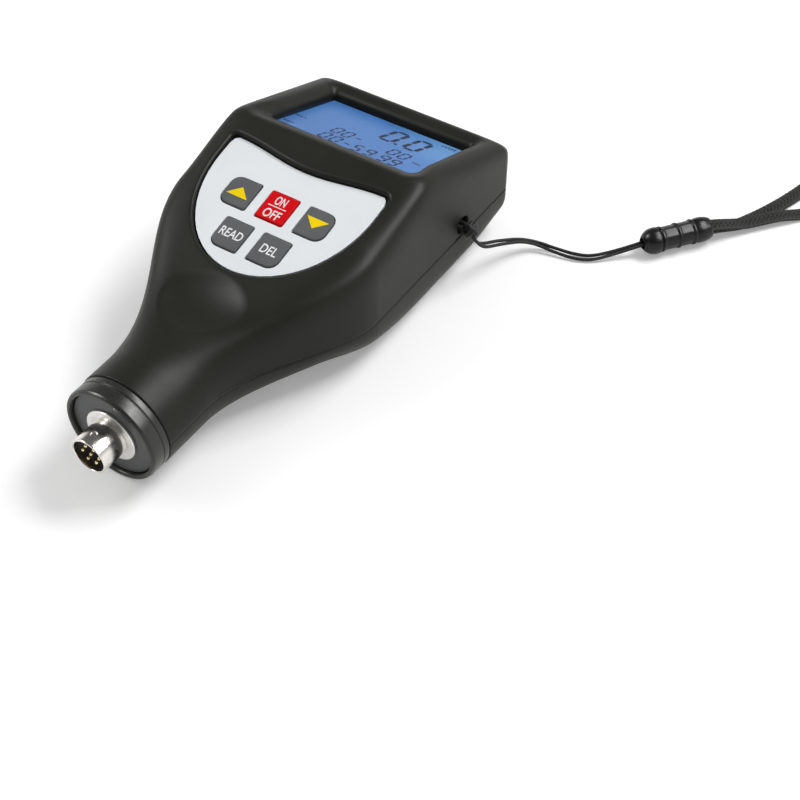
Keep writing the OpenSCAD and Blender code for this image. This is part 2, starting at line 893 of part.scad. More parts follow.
// ring shaped knot round the doubled cord just outside the case
module strap_knot() {
    row = smooth_row(cord_via, 2);
    p = row[2];
    d = ahead(row, 2);
    color([0.05, 0.05, 0.05])
        translate(p)
            rotate([0, acos(d[2]), atan2(d[1], d[0])])
                rotate_extrude($fn = 24)
                    translate([2.25, 0])
                        circle(r = 0.8, $fn = 14);
}

module strap_bead() {
    color([0.06, 0.06, 0.06])
        translate(bead_p)
            rotate([0, 90, atan2(bead_dir[1], bead_dir[0])])
                rotate_extrude($fn = 36)
                    polygon(concat(
                        [[1.9, 0.4]],
                        [for (i = [0:6]) let (a = 26 + 64 * i / 6)
                            [bead_r * sin(a), 4.6 - 4.6 * cos(a)]],
                        [[bead_r, 6.8], [3.3, 7.2], [3.3, 11], [4.1, 11.3], [4.1, 12.4], [3.3, 12.7]],
                        [[3.3, 16.4], [4.1, 16.7], [4.1, 17.8], [3.3, 18.1]],
                        [[3.3, 19.4], [4.1, 19.8], [4.1, 22.4], [3.6, bead_len]],
                        [[3, bead_len], [3, 14], [1.9, 13]]));
}

// wrist band lying flat in a drop shaped loop, its two ends stacked inside the bead
module wrist_band() {
    across = [bead_dir[1], -bead_dir[0], 0];
    start = bead_p + bead_dir * (bead_len - 8);
    row = [for (i = [0:40])
        let (t = 9 * i, f = (1 - cos(t)) / 2, side = i < 20 ? 1 : -1, apart = ease((f - 0.27) / 0.11))
        let (drop = (1.5 - bead_r) * ease((f - 0.055) / 0.145) - 0.8 * apart)
        start + bead_dir * band_reach * f
        + across * (band_open * sin(t) * pow(f, 1.9) - band_bend * f * f)
        + [0, 0, drop + side * 0.75 * (1 - apart)]];
    color([0.08, 0.08, 0.08])
        tube(row, band_w / 2, 0.6, 8);
}

front_shell();
rear_shell();
battery_door();
end_cap();
end_plate();
socket_washer();
socket_shell();
socket_insert();
socket_pins();
socket_nut();
display_lens();
lcd_glass();
lcd_backlight();
lcd_frame();
lcd_contacts();
display_board();
display_chips();
key_board();
key_switches();
board_ribbon();
keypad_label();
key_up();
key_power();
key_down();
key_read();
key_delete();
case_screws();
board_screws();
battery_1();
battery_2();
battery_3();
battery_4();
battery_springs();
battery_plates();
strap_post();
strap_cord();
strap_knot();
strap_bead();
wrist_band();
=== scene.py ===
"""Looks of a handheld coating thickness gauge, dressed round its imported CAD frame.

Sizes are in millimetres in the CAD frame and become metres when a mesh is made:
X across the case, Y along it toward the display head, Z up from the flat back.
"""
import logging
import math
from dataclasses import dataclass, field
from enum import Enum
from typing import Callable, Optional, Sequence

import bmesh
import bpy
import numpy as np
from mathutils import Matrix, Vector


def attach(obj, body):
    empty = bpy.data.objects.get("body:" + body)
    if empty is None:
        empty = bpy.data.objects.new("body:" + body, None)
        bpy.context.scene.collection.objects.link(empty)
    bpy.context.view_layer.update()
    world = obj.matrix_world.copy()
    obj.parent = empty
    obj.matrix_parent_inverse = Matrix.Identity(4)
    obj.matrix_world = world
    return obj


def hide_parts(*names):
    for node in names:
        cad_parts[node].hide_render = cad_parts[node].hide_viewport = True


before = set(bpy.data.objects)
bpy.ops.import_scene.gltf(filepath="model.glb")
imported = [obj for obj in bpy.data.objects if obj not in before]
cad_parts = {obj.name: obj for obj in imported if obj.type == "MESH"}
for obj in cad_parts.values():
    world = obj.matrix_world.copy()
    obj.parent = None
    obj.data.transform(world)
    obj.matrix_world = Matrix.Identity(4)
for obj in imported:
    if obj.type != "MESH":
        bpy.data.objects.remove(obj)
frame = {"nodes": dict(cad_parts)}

Object = bpy.types.Object
Socket = bpy.types.NodeSocket
LOG = logging.getLogger("gauge")
MM = 0.001
TINY = 1e-9  # keeps divisions by a length safe
LEAST = 1e-6  # keeps divisions in distance functions safe
PROBE = 0.02  # step of the slopes in millimetres
INNER = 1.7  # points this deep under the outer form may be hidden
OPEN_MARGIN = 0.3  # points this near to an opening are seen
Colour = tuple[float, float, float]
Triple = tuple[float, float, float]
Distance = Callable[[np.ndarray], np.ndarray]


class Body(Enum):
    """Bodies of the part that pieces ride on."""

    CASE = "case"
    DOOR = "door"
    UP = "up_key"
    POWER = "power_key"
    DOWN = "down_key"
    READ = "read_key"
    DELETE = "delete_key"


# shape helpers


def ease(t: np.ndarray) -> np.ndarray:
    """Smooth step from 0 to 1."""
    t = np.clip(t, 0, 1)
    return t * t * (3 - 2 * t)


def rise(y: np.ndarray, start: float, length: float) -> np.ndarray:
    """Smooth step from 0 at start to 1 a length further on."""
    return ease((y - start) / length)


def soft_max(a: np.ndarray, b: np.ndarray, k: float) -> np.ndarray:
    """Larger of two values with a blend of width k."""
    return (a + b + np.sqrt((a - b) ** 2 + k * k)) / 2


def soft_min(a: np.ndarray, b: np.ndarray, k: float) -> np.ndarray:
    """Smaller of two values with a blend of width k."""
    return (a + b - np.sqrt((a - b) ** 2 + k * k)) / 2


def round_and(a: np.ndarray, b: np.ndarray, r: float) -> np.ndarray:
    """Overlap of two solids whose common edge gets radius r."""
    return np.minimum(np.maximum(a, b), -r) + np.hypot(np.maximum(a + r, 0), np.maximum(b + r, 0))


def round_cut(solid: np.ndarray, void: np.ndarray, r: float) -> np.ndarray:
    """Solid minus void, the rim of the void rounded with radius r."""
    return round_and(solid, -void, r)


def box(p: np.ndarray, low: Sequence[float], high: Sequence[float]) -> np.ndarray:
    """Distance to a box between two corners."""
    middle = (np.array(low) + np.array(high)) / 2
    q = np.abs(p - middle) - (np.array(high) - np.array(low)) / 2
    return np.linalg.norm(np.maximum(q, 0), axis=1) + np.minimum(q.max(axis=1), 0)


def plan_box(u: np.ndarray, v: np.ndarray, w: float, l: float, r: float) -> np.ndarray:
    """Distance to a flat rounded rectangle of full size w by l."""
    a, b = np.abs(u) - w / 2 + r, np.abs(v) - l / 2 + r
    return np.hypot(np.maximum(a, 0), np.maximum(b, 0)) + np.minimum(np.maximum(a, b), 0) - r


def slopes(distance: Distance, p: np.ndarray) -> np.ndarray:
    """Gradient of a distance by central differences.

    Args:
        distance: the solid's distance function.
        p: points in millimetres.

    Returns:
        One gradient for each point.
    """
    sides = np.eye(3) * PROBE
    return np.stack([(distance(p + d) - distance(p - d)) / (2 * PROBE) for d in sides], axis=1)


def unit(rows: np.ndarray) -> np.ndarray:
    """Vectors in rows, brought to length one."""
    return rows / np.maximum(np.linalg.norm(rows, axis=1, keepdims=True), TINY)


def strides(row: np.ndarray) -> np.ndarray:
    """Distance from each point of a row to the next."""
    return np.linalg.norm(np.diff(row, axis=0), axis=1)


def mileage(row: np.ndarray) -> np.ndarray:
    """Distance of each point of a row from its start, measured along the row."""
    return np.concatenate([[0], np.cumsum(strides(row))])


def circle(count: int) -> np.ndarray:
    """Angles of a number of points round a circle."""
    return np.linspace(0, 2 * math.pi, count, endpoint=False)


@dataclass
class NetMesh:
    """Quad mesh of a solid that is given by a distance function.

    Attributes:
        distance: signed distance in millimetres, negative inside.
        low: lowest corner of the sampled room.
        high: highest corner of the sampled room.
        step: spacing of the samples.
        batch: samples that are taken at once.
        passes: how often points are moved onto the surface.
        reach: longest move, as a share of the step.
        least_slope: smallest squared slope that a move divides by.
    """

    distance: Distance
    low: Sequence[float]
    high: Sequence[float]
    step: float
    batch: int = 400000
    passes: int = 3
    reach: float = 0.35
    least_slope: float = 0.05

    def build(self) -> tuple[np.ndarray, np.ndarray]:
        """Samples the room and nets the surface.

        Returns:
            Points and quads, wound outward.
        """
        axes = [np.arange(a, b + self.step, self.step) for a, b in zip(self.low, self.high)]
        grid = np.stack(np.meshgrid(*axes, indexing="ij"), axis=-1)
        shape = grid.shape[:3]
        flat = grid.reshape(-1, 3)
        starts = range(0, len(flat), self.batch)
        d = np.concatenate([self.distance(flat[i:i + self.batch]) for i in starts]).reshape(shape)
        inside = d < 0
        offsets = np.array([[i, j, k] for i in (0, 1) for j in (0, 1) for k in (0, 1)])
        spans = [s - 1 for s in shape]
        total = sum(inside[i:i + spans[0], j:j + spans[1], k:k + spans[2]].astype(np.uint8)
                    for i, j, k in offsets)
        cells = np.argwhere((total > 0) & (total < len(offsets)))
        number = np.full(spans, -1, np.int64)
        number[tuple(cells.T)] = np.arange(len(cells))
        return self._settle(self._middles(cells, offsets, d)), self._quads(inside, number)

    def _middles(self, cells: np.ndarray, offsets: np.ndarray, d: np.ndarray) -> np.ndarray:
        """Mean of the crossings on the edges of each cell that the surface passes.

        Args:
            cells: index of each crossed cell.
            offsets: the eight corners of a cell.
            d: sampled distances.

        Returns:
            One point for each cell.
        """
        at = np.array(self.low) + self.step * cells
        values = np.stack([d[tuple((cells + o).T)] for o in offsets], axis=1)
        place, count = np.zeros((len(cells), 3)), np.zeros((len(cells), 1))
        for a in range(len(offsets)):
            for b in range(a + 1, len(offsets)):
                if np.abs(offsets[a] - offsets[b]).sum() == 1:
                    da, db = values[:, a], values[:, b]
                    cross = (da < 0) != (db < 0)
                    t = np.where(cross, da / np.where(cross, da - db, 1), 0)[:, None]
                    place += cross[:, None] * (offsets[a] + t * (offsets[b] - offsets[a]))
                    count += cross[:, None]
        return at + self.step * place / count

    def _settle(self, points: np.ndarray) -> np.ndarray:
        """Moves points onto the surface along its slope.

        Args:
            points: points near the surface.

        Returns:
            The moved points.
        """
        for _ in range(self.passes):
            g = slopes(self.distance, points)
            size = np.maximum((g * g).sum(axis=1), self.least_slope)
            move = self.distance(points)[:, None] * g / size[:, None]
            far = np.linalg.norm(move, axis=1, keepdims=True)
            points = points - move * np.minimum(1, self.reach * self.step / np.maximum(far, TINY))
        return points

    @staticmethod
    def _quads(inside: np.ndarray, number: np.ndarray) -> np.ndarray:
        """Quads round every grid edge that the surface crosses.

        Args:
            inside: which samples lie inside the solid.
            number: point number of each cell.

        Returns:
            Point numbers of the quads.
        """
        found = []
        for axis in range(3):
            others = [(axis + 1) % 3, (axis + 2) % 3]
            one, two = np.eye(3, dtype=int)[others]
            low = np.take(inside, range(inside.shape[axis] - 1), axis)
            high = np.take(inside, range(1, inside.shape[axis]), axis)
            at = np.argwhere(low != high)
            solid_below = low[tuple(at.T)]
            room = [number.shape[k] for k in others]
            keep = ((at[:, others] > 0) & (at[:, others] < room)).all(axis=1)
            at, solid_below = at[keep], solid_below[keep]
            ring = np.stack([number[tuple((at - s).T)] for s in (0 * one, one, one + two, two)], axis=1)
            found.append(np.where(solid_below[:, None], ring, ring[:, ::-1]))
        return np.concatenate(found)


@dataclass(frozen=True)
class Tilted:
    """Frame of a sloping face: u runs along X, v up the slope and n out of the face."""

    y: float
    z: float
    degrees: float

    def _turn(self) -> tuple[float, float]:
        """Cosine and sine of the slope."""
        return math.cos(math.radians(self.degrees)), math.sin(math.radians(self.degrees))

    def local(self, p: np.ndarray) -> tuple[np.ndarray, np.ndarray, np.ndarray]:
        """Coordinates of points in this frame."""
        c, s = self._turn()
        dy, dz = p[:, 1] - self.y, p[:, 2] - self.z
        return p[:, 0], dy * c + dz * s, dz * c - dy * s

    def place(self, u: float, v: float, n: float) -> tuple[float, float, float]:
        """Point of the gauge, in millimetres, from coordinates in this frame."""
        c, s = self._turn()
        return u, self.y + v * c - n * s, self.z + v * s + n * c

    def matrix(self) -> Matrix:
        """Turn and shift, in metres, from this frame to the gauge."""
        shift = Matrix.Translation((0, self.y * MM, self.z * MM))
        return shift @ Matrix.Rotation(math.radians(self.degrees), 4, "X")


KEYPAD = Tilted(y=6.3, z=41.2, degrees=13.7)
DISPLAY = Tilted(y=56.1, z=37.4, degrees=-19.7)


# mesh helpers


def linked(name: str, data: Optional[bpy.types.ID]) -> Object:
    """New object of the scene that shows some data."""
    made = bpy.data.objects.new(name, data)
    bpy.context.scene.collection.objects.link(made)
    return made


def new_object(name: str, points: Sequence, faces: Sequence, smooth: bool = True,
               edges: Sequence = ()) -> Object:
    """Object at the origin from points in millimetres.

    Args:
        name: name of the piece.
        points: points in millimetres.
        faces: point numbers of each face, wound outward.
        smooth: whether the faces are shaded smooth.
        edges: point numbers of each loose edge.

    Returns:
        The linked object.
    """
    mesh = bpy.data.meshes.new(name)
    mesh.from_pydata((np.asarray(points, float) * MM).tolist(), [list(e) for e in edges],
                     [list(map(int, f)) for f in faces])
    mesh.polygons.foreach_set("use_smooth", [smooth] * len(mesh.polygons))
    mesh.update()
    return linked(name, mesh)


def coordinates(mesh: bpy.types.Mesh) -> np.ndarray:
    """Places of a mesh's points in metres."""
    at = np.zeros(len(mesh.vertices) * 3)
    mesh.vertices.foreach_get("co", at)
    return at.reshape(-1, 3)


def bake(obj: Object) -> Object:
    """Turns an object with modifiers into one with a plain mesh.

    Args:
        obj: object whose modifiers are applied.

    Returns:
        The same object.
    """
    evaluated = obj.evaluated_get(bpy.context.evaluated_depsgraph_get())
    mesh = bpy.data.meshes.new_from_object(evaluated)
    obj.modifiers.clear()
    obj.data = mesh
    return obj


def ring_skin(rings: np.ndarray, closed: bool = False, capped: bool = True) -> tuple[np.ndarray, list]:
    """Faces over rows of rings with the same number of points.

    Args:
        rings: rings as an array of rows, points and coordinates.
        closed: whether the last ring joins the first.
        capped: whether the first and last ring are closed by a face.

    Returns:
        Points and faces, outward where rings turn to the left along the row.
    """
    rows, count = rings.shape[:2]
    faces = []
    for j in range(rows if closed else rows - 1):
        a, b = j * count, (j + 1) % rows * count
        faces += [(a + i, a + (i + 1) % count, b + (i + 1) % count, b + i) for i in range(count)]
    if capped and not closed:
        faces += [tuple(range(count - 1, -1, -1)), tuple((rows - 1) * count + i for i in range(count))]
    return rings.reshape(-1, 3), faces


def smooth_row(via: np.ndarray, steps: int) -> np.ndarray:
    """Smooth curve through points.

    Args:
        via: points that the curve passes.
        steps: pieces between two points.

    Returns:
        Points of the curve.
    """
    padded = np.concatenate([via[:1], via, via[-1:]])
    row = []
    for a, b, c, d in zip(padded, padded[1:], padded[2:], padded[3:]):
        for t in np.arange(steps) / steps:
            row.append(0.5 * (2 * b + (c - a) * t + (2 * a - 5 * b + 4 * c - d) * t**2
                              + (3 * b - a - 3 * c + d) * t**3))
    return np.array(row + [via[-1]])


def row_frames(row: np.ndarray) -> tuple[np.ndarray, np.ndarray, np.ndarray]:
    """Forward, sideways and upward directions along a row of points."""
    ahead = unit(np.gradient(row, axis=0))
    side = unit(np.stack([ahead[:, 1], -ahead[:, 0], 0 * ahead[:, 0]], axis=1))
    return ahead, side, np.cross(side, ahead)


def flat_word(name: str, text: str, size: tuple[float, float], thick: float) -> Object:
    """Word as a thin plate round the origin, fitted to a width and a height.

    Args:
        name: name of the piece.
        text: the word.
        size: width and height in millimetres.
        thick: thickness in millimetres.

    Returns:
        The word as a mesh.
    """
    curve = bpy.data.curves.new(name, "FONT")
    curve.body, curve.align_x, curve.align_y = text, "CENTER", "CENTER"
    curve.extrude, curve.resolution_u, curve.offset = 0.5, 4, 0.012
    letters = linked(name, curve)
    bpy.context.view_layer.update()
    view = bpy.context.evaluated_depsgraph_get()
    mesh = bpy.data.meshes.new_from_object(letters.evaluated_get(view))
    bpy.data.objects.remove(letters)
    at = coordinates(mesh)
    low, high = at.min(axis=0), at.max(axis=0)
    at = (at - (low + high) / 2) / (high - low) * np.array([*size, thick]) * MM
    mesh.vertices.foreach_set("co", at.ravel())
    mesh.update()
    return linked(name, mesh)


def face_outward(obj: Object, sharp: Optional[float] = None) -> Object:
    """Merges doubles and turns the faces of a closed mesh outward.

    Args:
        obj: object with a closed mesh.
        sharp: angle in degrees from which edges stay sharp.

    Returns:
        The same object.
    """
    work = bmesh.new()
    work.from_mesh(obj.data)
    bmesh.ops.remove_doubles(work, verts=work.verts, dist=1e-7)
    bmesh.ops.recalc_face_normals(work, faces=work.faces)
    work.to_mesh(obj.data)
    work.free()
    if sharp is not None:
        obj.data.set_sharp_from_angle(angle=math.radians(sharp))
    return obj


# finishes


class NodeBook:
    """Writes the node tree of a material or a world."""

    def __init__(self, owner: bpy.types.ID) -> None:
        """Starts the tree of a new material or world."""
        owner.use_nodes = True
        self.owner = owner
        self.tree = owner.node_tree
        self.shader = self.tree.nodes.get("Principled BSDF") or self.tree.nodes["Background"]

    def node(self, kind: str, **inputs: object) -> bpy.types.Node:
        """Adds a node and fills its inputs; a socket is linked and a value is set.

        Args:
            kind: type of the node.
            inputs: input names, with underscores for spaces.

        Returns:
            The node.
        """
        made = self.tree.nodes.new(kind)
        for key, value in inputs.items():
            self.feed(made.inputs[key.replace("_", " ")], value)
        return made

    def feed(self, target: Socket, value: object) -> None:
        """Links a socket to an input, or sets the input's own value."""
        if isinstance(value, Socket):
            self.tree.links.new(value, target)
        else:
            target.default_value = value

    def set(self, **inputs: object) -> None:
        """Feeds inputs of the shader, with underscores for spaces."""
        for key, value in inputs.items():
            self.feed(self.shader.inputs[key.replace("_", " ")], value)

    def where(self, output: str = "Object") -> Socket:
        """Coordinates on the piece."""
        return self.node("ShaderNodeTexCoord").outputs[output]

    def noise(self, at: Socket, size_mm: float, detail: float = 2.0) -> Socket:
        """Noise whose lumps are about size_mm wide."""
        return self.node("ShaderNodeTexNoise", Vector=at, Scale=1000 / size_mm, Detail=detail).outputs[0]

    def ramp(self, value: Socket, *stops: tuple[float, Colour]) -> Socket:
        """Colour ramp over a value."""
        made = self.node("ShaderNodeValToRGB", Fac=value)
        elements = made.color_ramp.elements
        while len(elements) < len(stops):
            elements.new(0.5)
        for element, (place, colour) in zip(elements, stops):
            element.position = place
            element.color = (*colour, 1)
        return made.outputs["Color"]

    def span(self, value: Socket, low: float, high: float,
             start: float = 0.0, end: float = 1.0) -> Socket:
        """Maps start to end onto low to high."""
        made = self.node("ShaderNodeMapRange", Value=value)
        for key, number in (("From Min", start), ("From Max", end), ("To Min", low), ("To Max", high)):
            made.inputs[key].default_value = number
        return made.outputs["Result"]

    def math(self, operation: str, a: object, b: object = 0.0) -> Socket:
        """One sum of two values."""
        made = self.tree.nodes.new("ShaderNodeMath")
        made.operation = operation
        self.feed(made.inputs[0], a)
        self.feed(made.inputs[1], b)
        return made.outputs[0]

    def bump(self, height: Socket, depth_mm: float, strength: float = 1.0) -> None:
        """Raises the surface by a height, depth_mm from lowest to highest."""
        made = self.node("ShaderNodeBump", Height=height, Strength=strength, Distance=depth_mm * MM)
        self.set(Normal=made.outputs["Normal"])

    def seen(self) -> Socket:
        """Value that is 1 for rays from the camera, mirrors and glass."""
        path = self.node("ShaderNodeLightPath").outputs
        value = path["Is Camera Ray"]
        for name in ("Is Glossy Ray", "Is Transmission Ray"):
            value = self.math("MAXIMUM", value, path[name])
        return value


def shade(colour: Colour, factor: float) -> Colour:
    """Lighter or darker shade of a colour."""
    return tuple(min(1.0, c * factor) for c in colour)


@dataclass(frozen=True)
class Finish:
    """Base of all finishes.

    Attributes:
        name: name of the material.
        colour: base colour.
        roughness: middle roughness.
    """

    name: str
    colour: Colour
    roughness: float

    def write(self, book: NodeBook) -> None:
        """Writes the nodes of this finish."""
        raise NotImplementedError

    def material(self) -> bpy.types.Material:
        """Material of this finish, made once."""
        found = bpy.data.materials.get(self.name)
        if found is None:
            found = bpy.data.materials.new(self.name)
            self.write(NodeBook(found))
        return found


@dataclass(frozen=True)
class Moulded(Finish):
    """Moulded plastic or rubber with a fine grain.

    Attributes:
        grain: width of the grain in millimetres.
        depth: depth of the grain in millimetres.
        drift: how far the colour varies over the piece.
        shine: strength of the reflection, 0.5 for plain plastic.
    """

    grain: float = 0.35
    depth: float = 0.012
    drift: float = 0.12
    shine: float = 0.5

    def write(self, book: NodeBook) -> None:
        """Writes grain, colour drift and roughness drift."""
        at = book.where()
        slow, fine = book.noise(at, 18, 3), book.noise(at, self.grain, 2)
        book.set(
            Base_Color=book.ramp(slow, (0.3, shade(self.colour, 1 - self.drift)),
                                 (0.7, shade(self.colour, 1 + self.drift))),
            Roughness=book.span(book.math("ADD", fine, slow), self.roughness - 0.06,
                                self.roughness + 0.06, 0.6, 1.4),
            Specular_IOR_Level=self.shine,
        )
        book.bump(fine, self.depth)


@dataclass(frozen=True)
class Metal(Finish):
    """Bare metal with fine turning marks round the neck axis.

    Attributes:
        marks: depth of the marks in millimetres.
    """

    marks: float = 0.002

    def write(self, book: NodeBook) -> None:
        """Writes scratches that run round and a slow stain."""
        at = book.where()
        stretched = book.node("ShaderNodeMapping", Vector=at)
        stretched.inputs["Scale"].default_value = (1, 9, 1)
        lines = book.noise(stretched.outputs[0], 1.2, 4)
        stain = book.noise(at, 3, 2)
        book.set(
            Metallic=1.0,
            Base_Color=book.ramp(stain, (0.3, shade(self.colour, 0.93)), (0.7, shade(self.colour, 1.04))),
            Roughness=book.span(lines, self.roughness - 0.05, self.roughness + 0.07, 0.3, 0.7),
        )
        book.bump(lines, self.marks)


@dataclass(frozen=True)
class Clear(Finish):
    """Clear sheet of glass or acrylic."""

    def write(self, book: NodeBook) -> None:
        """Writes a clear shader with faint waves."""
        wave = book.noise(book.where(), 9, 1)
        book.set(Base_Color=(*self.colour, 1), Transmission_Weight=1.0, IOR=1.06,
                 Roughness=book.span(wave, self.roughness, self.roughness + 0.02))
        book.bump(wave, 0.001, 0.2)


@dataclass(frozen=True)
class BacklitWithPaintedLight(Finish):
    """Liquid crystal glass that glows for its backlight and, beyond that, as painted light in place of lamp
    light that the lens holds back; colour and glow are painted brighter toward one corner.

    Attributes:
        painted_bright_corner: colour of the painted light at the brighter corner.
        glow: strength of the glow, backlight and painted light together.
    """

    painted_bright_corner: Colour = (0.5, 0.7, 1.0)
    glow: float = 0.5

    def write(self, book: NodeBook) -> None:
        """Writes a glow with faint cells, its colour and glow painted brighter along a slant toward one
        corner.
        """
        at = book.where()
        split = book.node("ShaderNodeSeparateXYZ", Vector=at)
        # painted light: this slant makes the colour and the glow brighter toward one corner of the glass
        slant = book.math("ADD", split.outputs["X"], book.math("MULTIPLY", split.outputs["Y"], 1.3))
        cloud = book.noise(at, 14, 2)
        place = book.math("ADD", book.span(slant, 0.0, 1.0, 0.03, 0.125), book.span(cloud, -0.1, 0.1))
        tint_with_painted_light = book.ramp(place, (0.1, shade(self.colour, 0.9)), (0.6, self.colour), (1.0, self.painted_bright_corner))
        book.set(Base_Color=tint_with_painted_light, Emission_Color=tint_with_painted_light, Emission_Strength=self.glow, Specular_IOR_Level=0.1,
                 Roughness=book.span(cloud, self.roughness, self.roughness + 0.1))


@dataclass(frozen=True)
class Yarn(Finish):
    """Woven or twisted yarn; its threads run slantwise over the piece's own map.

    Attributes:
        turns: threads per unit of the map.
    """

    turns: float = 2.0

    def write(self, book: NodeBook) -> None:
        """Writes two slanting sets of threads and loose fibres."""
        split = book.node("ShaderNodeSeparateXYZ", Vector=book.where("UV"))
        across, along = split.outputs["X"], split.outputs["Y"]
        threads = []
        for sign in (1, -1):
            phase = book.math("ADD", book.math("MULTIPLY", across, 2 * sign),
                              book.math("MULTIPLY", along, self.turns))
            threads.append(book.math("SINE", book.math("MULTIPLY", phase, 2 * math.pi)))
        weave = book.span(book.math("MAXIMUM", *threads), 0.0, 1.0, -1.0, 1.0)
        fibre = book.noise(book.where(), 0.12, 3)
        book.set(
            Base_Color=book.ramp(book.math("MULTIPLY", weave, fibre), (0.1, shade(self.colour, 0.5)),
                                 (0.6, shade(self.colour, 1.5))),
            Roughness=book.span(fibre, self.roughness - 0.08, self.roughness + 0.08),
            Sheen_Weight=0.06,
            Sheen_Roughness=0.5,
            Specular_IOR_Level=0.3,
        )
        book.bump(book.math("ADD", weave, book.math("MULTIPLY", fibre, 0.4)), 0.08)


@dataclass(frozen=True)
class Laminate(Finish):
    """Circuit board laminate with a faint weave and printed tracks."""

    def write(self, book: NodeBook) -> None:
        """Writes tracks as edges of square cells."""
        at = book.where()
        cells = book.node("ShaderNodeTexVoronoi", Vector=at, Scale=380.0)
        cells.distance = "MANHATTAN"
        weave = book.noise(at, 0.4, 2)
        book.set(
            Base_Color=book.ramp(cells.outputs["Distance"], (0.35, self.colour),
                                 (0.55, shade(self.colour, 1.8))),
            Roughness=book.span(weave, self.roughness - 0.05, self.roughness + 0.1),
        )
        book.bump(weave, 0.01)


@dataclass(frozen=True)
class Wrapped(Finish):
    """Printed wrap of a cell with a bare band at its far end.

    Attributes:
        band: colour of the band.
    """

    band: Colour = (0.55, 0.36, 0.12)

    def write(self, book: NodeBook) -> None:
        """Writes the wrap, its band and fine scuffs."""
        at = book.where()
        along = book.node("ShaderNodeSeparateXYZ", Vector=at).outputs["Y"]
        scuff = book.noise(at, 0.8, 4)
        book.set(
            Base_Color=book.ramp(book.span(along, 0.0, 1.0, 0.0065, 0.0576), (0.0, self.colour),
                                 (0.68, shade(self.colour, 1.2)), (0.7, self.band),
                                 (1.0, shade(self.band, 1.1))),
            Metallic=0.4,
            Roughness=book.span(scuff, self.roughness - 0.1, self.roughness + 0.1),
        )
        book.bump(scuff, 0.004)


CASE_BLACK = Moulded("case_black", (0.0165, 0.0168, 0.0125), 0.42, grain=0.4, depth=0.012, shine=0.15)
CAP_BLACK = Moulded("cap_black", (0.027, 0.028, 0.024), 0.3, grain=1.2, depth=0.004, shine=0.35)
PLATE_GREY = Moulded("plate_grey", (0.075, 0.078, 0.078), 0.45, grain=0.3, depth=0.01)
WASHER_SILVER = Metal("washer_silver", (0.82, 0.81, 0.78), 0.34)
SOCKET_NICKEL = Metal("socket_nickel", (0.80, 0.77, 0.72), 0.16)
INSERT_BLACK = Moulded("insert_black", (0.008, 0.008, 0.008), 0.5, shine=0.2)
PIN_GOLD = Metal("pin_gold", (0.88, 0.76, 0.48), 0.2)
STEEL = Metal("bright_steel", (0.62, 0.62, 0.61), 0.3)
LENS_CLEAR = Clear("lens_clear", (0.93, 0.96, 1.0), 0.01)
# the lcd glass glows and is painted brighter toward one corner: painted light over its own blue
LCD_BLUE = BacklitWithPaintedLight("lcd_blue", (0.044, 0.140, 0.345), 0.3, painted_bright_corner=(0.115, 0.26, 0.44))
SEGMENT_NAVY = Moulded("segment_navy", (0.004, 0.009, 0.05), 0.5, grain=0.5, depth=0.001, shine=0.05)
LIGHT_GUIDE = Moulded("light_guide", (0.72, 0.82, 0.95), 0.4)
FRAME_PALE = Moulded("frame_pale", (0.70, 0.70, 0.67), 0.5)
CONTACT_RUBBER = Moulded("strip_rubber", (0.10, 0.09, 0.10), 0.7)
BOARD_GREEN = Laminate("board_green", (0.02, 0.12, 0.05), 0.4)
CHIP_BLACK = Moulded("chip_black", (0.02, 0.02, 0.02), 0.5)
SWITCH_BLACK = Moulded("switch_black", (0.05, 0.05, 0.06), 0.5)
RIBBON_AMBER = Moulded("ribbon_amber", (0.60, 0.34, 0.06), 0.25)
LABEL_WHITE = Moulded("label_white", (0.79, 0.825, 0.85), 0.36, grain=0.6, depth=0.004, drift=0.02,
                      shine=0.15)
KEY_GREY = Moulded("key_cap_grey", (0.115, 0.122, 0.124), 0.5, grain=0.25, depth=0.006, shine=0.06)
KEY_RED = Moulded("key_cap_red", (0.67, 0.001, 0.006), 0.5, grain=0.25, depth=0.006, drift=0.05,
                  shine=0.05)
INK_WHITE = Moulded("ink_white", (0.82, 0.83, 0.84), 0.5, drift=0.04, shine=0.08)
INK_YELLOW = Moulded("ink_yellow", (0.92, 0.66, 0.002), 0.5, drift=0.05, shine=0.05)
CELL_WRAP = Wrapped("cell_wrap", (0.03, 0.03, 0.035), 0.35)
CORD_BLACK = Yarn("cord_black", (0.009, 0.009, 0.0085), 0.6, turns=0.7)
BAND_BLACK = Yarn("band_black", (0.015, 0.0135, 0.012), 0.62, turns=1.4)
BEAD_BLACK = Moulded("bead_black", (0.010, 0.010, 0.0095), 0.3, grain=0.5, depth=0.01, shine=0.25)


@dataclass
class Dresser:
    """Gives finishes and bodies to pieces and CAD nodes, and reports each one."""

    nodes: dict = field(default_factory=lambda: frame["nodes"])

    def paint(self, finish: Finish, *names: str) -> None:
        """Gives CAD nodes a finish."""
        for name in names:
            mesh = self.nodes[name].data
            mesh.materials.clear()
            mesh.materials.append(finish.material())
            LOG.info("node %s gets %s", name, finish.name)

    def piece(self, obj: Object, finish: Finish, slot: str, body: Body,
              *replaced: str) -> Object:
        """Finishes a new piece and puts it on its body.

        Args:
            obj: the piece.
            finish: its finish.
            slot: material slot of the record that it belongs to; not used.
            body: body that it rides on.
            replaced: CAD nodes that it stands for.

        Returns:
            The piece.
        """
        obj.data.materials.clear()
        obj.data.materials.append(finish.material())
        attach(obj, body.value)
        if replaced:
            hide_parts(*replaced)
        LOG.info("piece %s rides on %s", obj.name, body.value)
        return obj


DRESSER = Dresser()


# case


